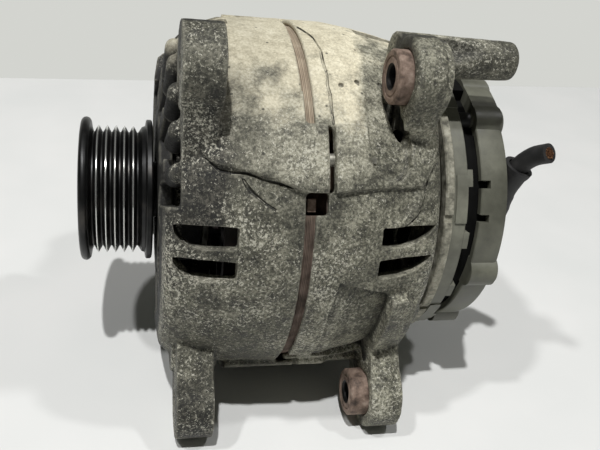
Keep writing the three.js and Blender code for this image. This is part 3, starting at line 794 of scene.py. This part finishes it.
def front_casting():
    outer = spun([(FRONT_FACE, 0)] + FRONT_TAPERED + [(FRONT_END, 0)], OUTLINE_STEPS)
    flanks = [flank(27, -20, 48), flank(27, 187, 45), flank(34.4, 56.5, 29)]
    near_pad = wrapped(
        [(42.2, 39.5), (45.5, 36.9), (55.6, 35.2), (66, 33), (72, 31.2), (75, 29.9),
         (TONGUE_END, 29.7), (TONGUE_END, 48.3), (77.3, 48.3), (77.3, 58), (44, 58)],
        raised_field, -5, 0)
    far_pads = [wedge(56, 77.6, angle, PAD_HALF, 70, PAD_RADIUS) for angle in PAD_ANGLES[1:]]
    tongues = [wedge(77, TONGUE_END, angle, PAD_HALF, 75.6, PAD_RADIUS) for angle in PAD_ANGLES]
    lugs = [
        lug(34.4, 46.6, UPPER_BOLT, (26, 20), 14),
        round_bosses(33.2, 47.6, UPPER_BOLT, LUG_TIP),
        lug(35.2, 49.6, LOWER_BOLT, (18, 20), 14.6),
        round_bosses(35, 49.8, LOWER_BOLT, LUG_TIP),
        lug(33.5, 51.6, (LOWER_BOLT[0], 64), (19, 21), 14),
    ]
    # the rounded ends of the spokes, seen between the openings of the belt end
    knobs = [rod(on_body(33.2, a, 50), on_body(34, a, 63), 4.0, 3.7) for a in KNOB_ANGLES]
    knobs += [ball(on_body(34, a, 63), 3.75) for a in KNOB_ANGLES]
    cavity = spun([(33.5, 0), (33.5, 57), (38, 64.5), (50, 68.3), (61.7, 69.2),
                   (61.7, SEAT_RADIUS), (78.4, SEAT_RADIUS), (78.4, 0)], 96)
    hub = spun([(33, 23.8), (33, 31), (46, 31), (46, 23.8)], 64)
    cuts = [bar(27, 31.2, 14.5), bar(30.9, 47, 23.8, sides=64)]
    for i in range(12):
        cuts.append(wedge(27, 35.5, 24 + 30 * i, 9.5, 35, 54))
    for angle in WINDOW_ANGLES:
        cuts.append(punch(oblong(27, 34.3, WINDOW_HALF), angle, 46, 80))
        cuts.append(punch(oblong(33, 40, WINDOW_HALF), angle, 44, 65.5))
    cuts += [round_bosses(30, 55, bolt, BOLT_HOLE) for bolt in (UPPER_BOLT, LOWER_BOLT)]
    made = machined("front_casting", outer, ("UNION", [*flanks, near_pad, *far_pads, *lugs]),
                    ("DIFFERENCE", [cavity]), ("UNION", [hub, *tongues]), ("DIFFERENCE", cuts),
                    ("UNION", knobs))
    vents = [punch([(31.6, 4.0), (34, 4.4), (44, 4.6), (53.6, 4.3), (54.3, 3.7), (54.3, -3.5),
                    (53.6, -4.2), (44, -4.5), (38.5, -4.1), (34.5, -2.4), (32.2, 0.8)],
                   angle, 56, 80)
             for angle in VENT_ANGLES]
    # the crease that branches down from the raised field
    creases = groove([(55, 33.0), (56.5, 31), (58.1, 29.5), (62.8, 26.7), (66.7, 24.9)],
                     on_front, 0.75, 0.1)
    # the shadow line under the edge of the raised field
    creases += groove([(42.4, 38.6), (46.9, 35.4), (51, 34.7), (56.2, 34.6), (62.7, 32.8),
                       (72.3, 31.2), (75.3, 30.3)], on_front, 0.65, 0)
    return dress(poured(made, vents + creases), "housing", "cast_aluminium",
                 "cast", "front_housing")


# ---- rear casting ----


def screw_cuts(start, end, radius=2.9):
    return [bar(start, end, radius, *place, sides=24) for place in COVER_SCREW_PLACES]


def rear_field(x, angle):
    """The rear pad falls towards the cover but stands above the body all the way."""
    return rear_radius(x) + stepped([(91, PAD_RADIUS - 75.2), (103, 1.6)])(x)


def panel_floor(x, angle):
    """The panel beside the lower lug deepens towards the lug."""
    return rear_radius(x) - stepped([(92, 1.0), (97.5, 1.6), (101, 2.4), (114.9, 3.0)])(x)


def rear_casting():
    outer = spun([(REAR_START, 0)] + REAR_PROFILE + [(REAR_END, 0)], OUTLINE_STEPS)
    cavity = spun([(80, 0), (80, SEAT_RADIUS), (97.5, SEAT_RADIUS), (97.5, 69), (126, 65.5),
                   (130.5, 60), (130.5, 0)], 96)
    hub = spun([(118, 17.8), (118, 22.5), (131, 22.5), (131, 17.8)], 64)
    lower_column = wrapped([(115, -3.2), (122, -3.6), (127, -8), (128, -50), (115, -50)],
                           on_rear, -4, 4.6)
    lobe = wrapped([(124, -6), (129, -8), (131.6, -13), (132, -22), (129, -29), (124, -30)],
                   on_rear, -4, 1.8)
    near_pad = wrapped([(87.6, 29.7), (104, 31), (119, 31.4), (123, 34), (119, 41), (103, 48),
                        (87.6, 48.3)], rear_field, -4, 0)
    column = wrapped([(118, 57), (117.2, 46.7), (117.8, 39.6), (119.3, 33), (121, 31.5),
                      (122.7, 32.5), (126.8, 38.3), (130.3, 46.3), (130.6, 57)], on_rear, -4, 2.8)
    far_pads = [wedge(87.2, 98.7, angle, PAD_HALF, 70, PAD_RADIUS) for angle in PAD_ANGLES[1:]]
    lugs = [
        lug(113.2, 125.2, UPPER_BOLT, (20, 20), 13.6),
        round_bosses(113.2, 122.4, UPPER_BOLT, LUG_TIP),
        round_bosses(112.3, 126, UPPER_BOLT, LUG_TIP - 1.1),
        lug(115, 127.8, LOWER_BOLT, (17, 17), 14.4),
        round_bosses(114.6, 128.2, LOWER_BOLT, LUG_TIP),
        # the long rib on the lower lug's edge
        lug(119.4, 123.6, (LOWER_BOLT[0], LOWER_BOLT[1] - 8), (18.5, 18.5), 16.2),
        # its wide foot
        lug(114.2, 128.6, (LOWER_BOLT[0], 72), (18, 17), 13.2),
        wedge(98, 115.6, PAD_ANGLES[3], PAD_HALF, 70, 76.4),
    ]
    # the ribs that run from the upper lug down the body
    ribs = groove([(122, 33.5), (121, 29), (119.6, 25), (115.8, 21.6), (109, 19.4)], on_rear, 1.9,
                  0.8)
    boss_y, boss_z = LONG_BOSS
    boss = [
        bar(112.5, 159.6, 8.4, boss_y, boss_z, 7.35, 64),
        bar(159.5, 160.8, 7.35, boss_y, boss_z, 6.1, 64),
        prism([(-44, 60), (-44, 74), (-30.5, 84.5), (-23.5, 78), (-18, 60)], 112.3, 131),
        # the thin web on the boss's upper side
        prism([(-24, 70), (-33.5, 84.6), (-31.5, 85.4), (-24, 80)], 126, 146),
    ]
    standoffs = [bar(133, 136.9, 6, *place) for place in COVER_SCREW_PLACES]
    scoop = bar(126.3, 153, 7.4, boss_y - 8.0, boss_z + 5.9, 0.4, 32)
    cuts = [scoop, bar(130, 135.3, 12, sides=48), bar(117, 130.3, 17.8, sides=64)]
    cuts += [punch(oblong(80.5, 85.5, 4), angle, 70, 80) for angle in (NOTCH_ANGLE, -38)]
    cuts += [wedge(*PAD_GAP, angle, 9.5, 68, 80) for angle in PAD_ANGLES]
    cuts += [wedge(129, 136, 40 * i, 14, 28, 46.5) for i in range(6)]
    for angle in PAD_ANGLES[1:]:
        y, z = on_body(0, angle, BOLT_CIRCLE).yz
        cuts.append(bar(98.7, 113, 5.4, y, z))
        cuts.append(punch(oblong(98.7, 113, 5.4), angle, BOLT_CIRCLE, 82))
    cuts += [round_bosses(106, 131, bolt, BUSHING_SEAT) for bolt in (UPPER_BOLT, LOWER_BOLT)]
    cuts += screw_cuts(126, 139, 2.7)
    # pocket under the upper bushing, and the spot face in front of it
    cuts.append(wrapped([(108.6, 60), (119.3, 60), (118.6, 52), (116.6, 47.5), (114.8, 44.5),
                         (112.4, 47), (110.2, 52)], on_rear, -6.5, 5))
    cuts.append(wrapped([(101.2, 58), (100.4, 46), (101.6, 38), (104.6, 33.8), (112.5, 33),
                         (117, 37), (117.0, 46), (118, 58)], on_rear, -1.0, 3))
    made = machined("rear_casting", outer,
                    ("UNION", [near_pad, column, lower_column, lobe, *far_pads, *lugs, *ribs,
                               *boss, *standoffs]),
                    ("DIFFERENCE", [cavity]), ("UNION", [hub]), ("DIFFERENCE", cuts))
    vents = [punch([(107.0, 3.6), (107.6, 4.2), (118, 4.5), (129.8, 4.1), (127.5, 0.9),
                    (123, -2.3), (117, -4.0), (107.8, -4.2), (107.0, -3.6)], angle, 54, 80)
             for angle in VENT_ANGLES]
    # the dark line behind the lip over the top
    creases = groove([(87.9, 48.5), (87.5, 52), (87.6, 58), (87.2, 61), (87.7, 64.8), (87.1, 70),
                      (87.4, 75.4), (86.5, 80), (86, 83.2), (84, 87), (81.5, 91.5)], on_rear,
                     0.6, 0.1)
    # the edge that runs from the ridge down behind the upper vent
    creases += groove([(125, 34), (123, 28.5), (121.2, 24.4), (118.4, 21.6), (115, 20)], on_rear,
                      0.6)
    # shallow panel beside the lower lug
    panel = wrapped([(92.3, 3.7), (104, 0.6), (112, -1.4), (114.6, -3.6), (114.9, -30),
                     (114.4, -37), (100, -40), (91, -36), (90.5, -8)], panel_floor, 0, 9)
    pits = [ball(on_body(x, angle, rear_radius(x) + 0.2), 1.2)
            for x, angle in ((92.4, 61.5), (99, 63.2), (108.5, 63.4))]
    return dress(poured(made, vents + creases + pits + [panel]), "housing",
                 "cast_aluminium", "cast", "rear_housing")


front_casting()
rear_casting()

# ---- stator ----


def stator_stack():
    """Stacked sheets: every other ring stands a little proud on the visible band."""
    inner, outer = STACK_RADII
    proud = outer + 0.35
    outline = [(STACK[0], inner), (STACK[0], outer)]
    x = 76.4
    while x < 82:
        outline += [(x, outer), (x + 0.1, proud), (x + 0.5, proud), (x + 0.6, outer)]
        x += SHEET
    outline += [(STACK[1], outer), (STACK[1], inner)]
    notch = punch(oblong(76.6, 92, 4.4), NOTCH_ANGLE, 60, 80)
    slot = wedge(84.6, 91, PAD_ANGLES[0], 9.2, 58, 80)
    made = machined("stator_stack", spun(outline, 120), ("DIFFERENCE", [notch, slot]))
    return dress(finished(made), "housing", "rusty_steel", "laminations", "stator_core")


def stack_key():
    """The clip that shows in the notch at the joint."""
    shape = punch([(78.8, -3), (81.8, -3), (81.8, 1.6), (78.8, 1.6)], NOTCH_ANGLE, 58, 71)
    return dress(piece("stack_key", shape), "housing", "rusty_steel", "rust")


def winding(name, start, end, node):
    """The ends of the wound bars: a copper ring with a hump for each bundle."""
    middle = (start + end) / 2
    shape = spun([(start, 57), (start, 62), (middle, 64.6), (end, 64), (end, 55),
                  (middle, 54.6)], 216)
    for vert in shape.verts:
        angle = math.atan2(vert.co.z, vert.co.y)
        hump = 0.5 + 0.5 * math.cos(36 * angle)
        radius = math.hypot(vert.co.y, vert.co.z)
        pull = 1 - 0.9 * (1 - hump) / radius
        vert.co.y *= pull
        vert.co.z *= pull
    return dress(piece(name, shape), "housing", "copper", "copper", node)


stator_stack()
stack_key()
winding("front_winding", 51, STACK[0] - 0.3, "front_end_winding")
winding("rear_winding", STACK[1] + 0.3, 108, "rear_end_winding")

# ---- pulley and shaft end ----

RIB_PITCH = 3.56
FIRST_RIB = 4.2
RIB_TIP = 27.2
RIB_VALLEY = 24.4


def grooved_pulley():
    outline = [(-2.7, 19.6), (-2.7, 28.2)]
    for i in range(9):
        a = math.radians(180 - 22.5 * i)
        outline.append((-0.75 + 1.95 * math.cos(a), 28.55 + 1.95 * math.sin(a)))
    outline += [(1.2, 27.6)]
    for i in range(5):
        tip = FIRST_RIB + RIB_PITCH * i
        outline += [(tip - 2.0, RIB_VALLEY), (tip - 1.56, RIB_VALLEY), (tip - 0.32, RIB_TIP - 0.35),
                    (tip - 0.14, RIB_TIP), (tip + 0.14, RIB_TIP), (tip + 0.32, RIB_TIP - 0.35)]
    outline += [(20.0, RIB_VALLEY), (20.44, RIB_VALLEY), (22, 26.8), (23.3, 27.3), (23.7, 29.6),
                (24.1, 30), (25.6, 30), (26.1, 29.6), (26.3, 28.8), (26.3, 8.5), (11.3, 8.5),
                (11.3, 17.6), (9.8, 19), (-2.2, 19)]
    return dress(piece("grooved_pulley", spun(outline, 160), smooth=30), "rotor", "dark_steel",
                 "pulley", "pulley")


def hexagon(name, start, end, radius, y, z, bore, chamfer=1.2):
    """A nut: six flats, corners turned off at both ends, a bore through it."""
    blank = bar(start, end, radius, y, z, sides=6)
    turned = bar(start, (start + end) / 2, radius - chamfer * 0.9, y, z,
                 radius + chamfer * 2.5, 64)
    other = bar((start + end) / 2, end, radius + chamfer * 2.5, y, z,
                radius - chamfer * 0.9, 64)
    return machined(name, turned, ("UNION", [other]), ("INTERSECT", [blank]),
                    ("DIFFERENCE", [bar(start - 1, end + 1, bore, y, z)]))


def pulley_nut():
    made = hexagon("shaft_nut", 2, 11, 13.9, 0, 0, 8.4)
    return dress(finished(made), "rotor", "machined_steel", "steel", "pulley_nut")


def shaft():
    """The rotor shaft, threaded where the nut sits, with a splined socket in its front end."""
    outline = [(0, 0), (0, 7.0), (0.8, 7.8)]
    x = 1.0
    while x < 12:
        outline += [(x, 7.6), (x + 0.75, 8.15)]
        x += 1.5
    outline += [(13, 8.2), (59, 8.2), (59, 9.7), (100, 9.7), (100, 9), (112, 9), (112, 7.2),
                (158, 7.2), (158.6, 6.6), (158.6, 0)]
    socket = [bar(-1, 8, 3.6, sides=24)]
    for i in range(12):
        y, z = on_body(0, 30 * i, 3.6).yz
        socket.append(bar(-1, 8, 0.9, y, z, sides=10))
    made = machined("rotor_axle", spun(outline, 64), ("DIFFERENCE", socket))
    return dress(finished(made), "rotor", "machined_steel", "steel", "rotor_shaft")


def spacer():
    outline = [(26.6, 8.5), (26.6, 11.5), (27, 12), (30.6, 12), (31, 11.5), (31, 8.5)]
    return dress(piece("hub_spacer", spun(outline, 64)), "rotor", "machined_steel", "dark_steel",
                 "spacer_collar")


grooved_pulley()
pulley_nut()
shaft()
spacer()

# ---- bushings ----


def bushing(name, bolt, node):
    """A rolled steel sleeve with a turned groove round its face; its bore is painted dark as shade
    in the deep hole.
    """
    outline = [(107.6, 4.9), (107.6, 6.6), (108.0, 6.9), (108.0, 7.3), (107.6, 7.6),
               (107.6, 9.2), (108.2, 9.85), (125.0, 9.85), (125.6, 9.3), (125.6, 4.9),
               (125.0, 4.25), (108.3, 4.25)]
    shape = spun(outline, 72)
    bmesh.ops.translate(shape, verts=shape.verts, vec=(0, *bolt_place(bolt)))
    made = dress(piece(name, shape, smooth=25), node, "rusty_steel", "rust", node)
    # painted shade: the faces of the bore take the dark steel, dark as the deep hole
    made.data.materials.append(MATERIALS["dark_steel"])
    centre = bolt_place(bolt) * MM
    for face in made.data.polygons:
        if (face.center.yz - centre).length < 4.6 * MM:
            face.material_index = 1
    return made


bushing("upper_sleeve", UPPER_BOLT, "upper_bushing")
bushing("lower_sleeve", LOWER_BOLT, "lower_bushing")

# ---- rectifier, carrier and cover ----


def heat_sink():
    """The stamped ring at the rear edge, with the notches its press left."""
    ring = spun([(137.2, 30), (137.2, 58), (136.2, 58), (136.2, 61.9), (136.7, 62.5),
                 (139.5, 62.5), (139.9, 62), (139.9, 30)], OUTLINE_STEPS)
    notches = [punch([(135, -1.6), (141, -1.6), (141, 1.6), (136, 1.6)], a, 61.3, 66)
               for a in (21, 75, 120, 160, 205, 250, 295, 340)]
    holes = [bar(136, 141, 2.3, y, -41, sides=20) for y in (-15.5, 15.5)]
    made = machined("rear_sink_ring", ring,
                    ("DIFFERENCE", screw_cuts(136, 141) + notches + holes))
    return dress(finished(made), "housing", "heat_sink", "sink", "negative_heat_sink")


def carrier():
    """The moulded ring behind it, with raised clip steps round its edge."""
    ring = spun([(140.2, 49.5), (140.2, 60), (140.6, 60.4), (145.9, 60.4), (146.4, 59.9),
                 (146.4, 49.5)], OUTLINE_STEPS)
    steps = [wedge(141.4, 146.2, a, 9, 58, 61, 10) for a in (28, 74, 128, 176, 230, 282, 330)]
    feet = [wedge(146, 148.4, a, 3.2, 54, 60.4, 4) for a in (-34, -12, 12, 36, 150, 210)]
    made = machined("carrier_ring", ring, ("UNION", steps + feet),
                    ("DIFFERENCE", screw_cuts(139, 148)))
    return dress(finished(made), "housing", "grey_plastic", "carrier", "terminal_carrier")


def cover():
    """The rear cover: a dished plate with rounded screw lobes, air slots and a hub ring."""
    shell = spun([(154, 54.2), (154, 56.6), (154.4, 57), (164.2, 57), (165.6, 56.5),
                  (166.3, 55.3), (166.5, 54), (166.5, 4), (163.9, 4), (163.9, 53.6)],
                 OUTLINE_STEPS)
    lobes = []
    for angle in COVER_LOBES:
        y, z = on_body(0, angle, 53.4).yz
        lobes += [bar(154, 165.6, 7, y, z, sides=64), bar(165.5, 166.5, 7, y, z, 6.1, 64)]
    # the rim is thicker between the two upper lobes
    lobes.append(wedge(154, 165.2, 74, 9, 52, 59.6))
    legs = [bar(146.7, 165.5, 3.3, *place) for place in COVER_SCREW_PLACES]
    ridge = spun([(163, 24.5), (163, 26.5), (166.3, 26.3), (166.3, 24.7)], 96)
    cuts = screw_cuts(145, 168, 2.7)
    cuts += [bar(162, 168, 4.4, *place) for place in COVER_SCREW_PLACES]
    cuts += [wedge(160, 168, 20 + 45 * i, 12, 12, 21, 8) for i in range(8)]
    cuts.append(bar(160, 168, 5.5, -28.5, -23))
    # slots in the rim
    cuts += [wedge(153, 158, a, 1.6, 53, 60, 3) for a in (20, 34, 104, 122, 140, 206, 224, 300)]
    made = machined("cover_shell", shell, ("UNION", lobes + legs + [ridge]),
                    ("DIFFERENCE", cuts))
    return dress(finished(made, 30), "housing", "grey_plastic", "cover", "rear_cover")


def shade_sheet():
    """A black sheet of painted shade in the gap between the carrier and the cover, open where the
    plug comes in.
    """
    ring = spun([(146.8, 52.3), (146.8, 53.5), (163.6, 53.5), (163.6, 52.3)], 96)
    made = machined("painted_shade_wall", ring, ("UNION", [wedge(146.8, 153.8, 112, 34, 52.6, 58.6, 24)]),
                    ("DIFFERENCE", [wedge(146, 165, 180, 24, 40, 60)]))
    return dress(finished(made), "housing", "black_plastic", "soot")


heat_sink()
carrier()
shade_sheet()
cover()


def socket_screw(name, node, start, head, end, y, z, radius, head_radius):
    """A screw with a domed head and a six-lobed socket; its shank starts at the lower x."""
    parts = [bar(head, end - 0.8, head_radius, y, z, sides=40),
             bar(end - 0.85, end, head_radius, y, z, head_radius - 0.9, 40)]
    cuts = [bar(end - 1.6, end + 1, 0.42 * head_radius, y, z, sides=20)]
    for i in range(6):
        dy, dz = on_body(0, 60 * i, 0.42 * head_radius).yz
        cuts.append(bar(end - 1.6, end + 1, 0.14 * head_radius, y + dy, z + dz, sides=10))
    made = machined(name, bar(start, head + 0.2, radius, y, z, sides=24), ("UNION", parts),
                    ("DIFFERENCE", cuts))
    return dress(finished(made), "housing", "machined_steel", "zinc", node)


for i, (y, z) in enumerate(COVER_SCREW_PLACES):
    socket_screw(f"cover_bolt_{i + 1}", f"cover_screw_{i + 1}", 128, 162.4, 165.6, y, z, 2.3, 4)
for i, y in enumerate((-15.5, 15.5)):
    socket_screw(f"holder_bolt_{i + 1}", f"brush_holder_screw_{i + 1}", 130, 144.5, 147, y, -41,
                 1.9, 3.9)


def long_bolt(i, angle):
    y, z = on_body(0, angle, BOLT_CIRCLE).yz
    buried = angle == PAD_ANGLES[0]      # this one's head is sunk under the cast skin
    head = bar(99, 103.5, 1.8 if buried else 4.5, y, z, sides=6)
    flange = bar(98.9, 99.9, 2.5 if buried else 4.6, y, z, sides=32)
    made = machined(f"long_bolt_{i + 1}", bar(56, 99.2, 2.4, y, z, sides=24),
                    ("UNION", [head, flange]))
    return dress(finished(made), "housing", "machined_steel", "zinc", f"through_bolt_{i + 1}")


for i, angle in enumerate(PAD_ANGLES):
    long_bolt(i, angle)

# ---- battery terminal ----

STUD = (-28.5, -23)


def stud():
    outline = [(147.5, 0), (147.5, 3.9), (151.4, 3.9), (151.4, 5.1), (166.9, 5.1)]
    x = 167.0
    while x < 178.2:
        outline += [(x, 3.5), (x + 0.45, 3.9), (x + 0.9, 3.5)]
        x += 1.0
    outline += [(178.4, 3.3), (179, 2.8), (179, 0)]
    shape = spun(outline, 40)
    bmesh.ops.translate(shape, verts=shape.verts, vec=(0, *STUD))
    return dress(piece("terminal_stud", shape), "housing", "machined_steel", "zinc",
                 "battery_stud")


def stud_nut():
    made = hexagon("terminal_nut", 170.2, 176.4, 7.4, *STUD, 4.2, 0.8)
    return dress(finished(made), "housing", "plated_steel", "zinc", "battery_nut")


def boot():
    """The rubber sleeve over the cable lug, with a rolled rim at its mouth."""
    route = smooth_route([(172.8, -29.5, 3.5), (173.6, -29.7, 11.4), (175, -30.3, 22),
                          (177.6, -32.4, 32.6)], 6)
    bore_route = smooth_route([(172.4, -29.3, -3), (172.8, -29.4, 1), (173.6, -29.7, 11.4),
                               (175, -30.3, 22), (177.4, -32, 31.6), (179.2, -34.4, 37)], 6)
    outer = swept(route, [6.5] * 8 + [6.2] * 3 + [5.9] * 4 + [5.9, 5.9, 6.4, 6.5])
    bore = swept(bore_route, [4.7] * len(bore_route))
    made = machined("terminal_sleeve", outer, ("DIFFERENCE", [bore]))
    return dress(finished(made, 60), "housing", "rubber", "rubber", "terminal_boot")


def swept(route, radii, sides=32):
    """A round body along a route whose radius changes from point to point."""
    shape = bmesh.new()
    rings = []
    for i, (place, radius) in enumerate(zip(route, radii)):
        ahead = route[min(i + 1, len(route) - 1)] - route[max(i - 1, 0)]
        turn = ahead.to_track_quat("Z", "Y").to_matrix().to_4x4()
        made = bmesh.ops.create_circle(shape, cap_ends=i in (0, len(route) - 1), segments=sides,
                                       radius=radius, matrix=Matrix.Translation(place) @ turn)
        ring_edges = {e for v in made["verts"] for e in v.link_edges}
        rings.append(list(ring_edges))
    for low, high in zip(rings, rings[1:]):
        bmesh.ops.bridge_loops(shape, edges=low + high)
    return tidy(shape)


def plug():
    """The regulator's plug socket, with three flat pins in its mouth."""
    shell = block((141, 61.6, -9.5), (160, 74.4, 9.5), 1.0)
    mouth = block((147, 63.6, -7.5), (162, 72.4, 7.5), 0.6)
    keys = [block((150, 74, z - 1), (159, 74.4, z + 1)) for z in (-5, 5)]
    pins = [block((146, 67.6, z - 1.1), (156, 68.4, z + 1.1), 0.2, 1) for z in (-4.6, 0, 4.6)]
    made = machined("socket_shell", shell, ("DIFFERENCE", [mouth]), ("UNION", keys))
    dress(finished(made), "housing", "black_plastic", "black", "plug_socket")
    dress(piece("socket_pins", joined(*pins)), "housing", "plated_steel", "zinc")


stud()
stud_nut()
boot()
plug()

# ---- brush springs ----

SPRING_FOOT = -40.3
SPRING_TOP = -26.9


def spring(letter, x):
    """A coil of round wire, five turns from its top down to its foot."""
    turns = 5
    route = []
    for i in range(turns * 16 + 1):
        a = FULL_TURN * i / 16
        z = SPRING_TOP + (SPRING_FOOT - SPRING_TOP) * i / (turns * 16)
        route.append(Vector((x + 1.8 * math.cos(a), 1.8 * math.sin(a), z)))
    made = piece(f"brush_coil_{letter}", swept(route, [0.32] * len(route), 8))
    dress(made, f"brush_{letter}", "machined_steel", "steel", f"brush_spring_{letter}")
    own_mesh(made)


spring("a", 144.75)
spring("b", 152.75)

# ---- CAD pieces that keep their shape ----

def numbered(name):
    return [f"{name}_{i}" for i in (1, 2, 3)]


KEPT = {
    "steel": [f"{end}_bearing_{part}" for end in ("front", "rear")
              for part in ("outer_race", "inner_race", "balls")]
             + numbered("retainer_screw") + numbered("negative_diode")
             + numbered("positive_diode"),
    "zinc": ["bearing_retainer", "cable_lug"],
    "dark_steel": ["front_claw_pole", "rear_claw_pole", "front_fan", "rear_fan"],
    "copper": ["field_coil"],
    "rings": ["slip_ring_1", "slip_ring_2"],
    "black": ["slip_ring_carrier", "brush_holder", "positive_heat_sink"],
    "carbon": ["brush_a", "brush_b"],
}
for finish, names in KEPT.items():
    for name in names:
        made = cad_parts[name]
        made.data.materials.clear()
        made.data.materials.append(MATERIALS[finish])

# ---- table and light ----


def table():
    """A pale laminate table top; its far edge is just behind the alternator."""
    shape = bmesh.new()
    corners = [(-900, -1200), (1100, -1200), (1100, 420), (-900, 232)]
    shape.faces.new([shape.verts.new((x, y, TABLE_Z)) for x, y in corners])
    made = piece("table_top", shape)
    material, node, shader, where = surface_of("laminate_pale", 0.0, 0.35)
    cloud = node("TexNoise", noise(where, 60, 2.0))
    tint = node("ValToRGB", {0: cloud}, stops=[(0.3, "#d6d7d5"), (0.7, "#dcdcda")])
    material.node_tree.links.new(tint, shader.inputs["Base Color"])
    made.data.materials.append(material)


LIT_PLACE = (80, 0, 0)


def lamp(name, place, size, power):
    data = bpy.data.lights.new(name, "AREA")
    data.shape = "DISK"
    data.size = size
    data.energy = power
    made = bpy.data.objects.new(name, data)
    aim = Vector(LIT_PLACE) - Vector(place)
    made.matrix_world = (Matrix.Translation(Vector(place) * MM)
                         @ aim.to_track_quat("-Z", "Y").to_matrix().to_4x4())
    bpy.context.scene.collection.objects.link(made)


def light():
    """Three ceiling lamps and a wall that is brighter than the room."""
    world = bpy.data.worlds.new("room")
    bpy.context.scene.world = world
    world.use_nodes = True
    tree = world.node_tree
    sky = tree.nodes["Background"]
    looking = add(tree, "TexCoord")
    ahead, low = [add(tree, "MapRange", between(add(tree, "SeparateXYZ", {0: looking}, out=i),
                                                *ends))
                  for i, ends in ((1, (0.2, 0.5)), (2, (0.3, 0.1)))]
    wall = add(tree, "Math", {0: ahead, 1: low}, {"operation": "MULTIPLY"})
    room = add(tree, "Mix", {0: wall, 6: "#4b4c48", 7: "#d6d7d2"}, MIX, out=2)
    tree.links.new(room, sky.inputs["Color"])
    sky.inputs["Strength"].default_value = 0.97
    lamp("ceiling", (-420, -870, 3000), 0.1, 80)
    lamp("ceiling_left", (-1420, -390, 3000), 0.2, 36)
    lamp("ceiling_right", (1490, -390, 3000), 0.2, 22)
    bpy.context.scene.view_settings.view_transform = "Standard"


table()
light()
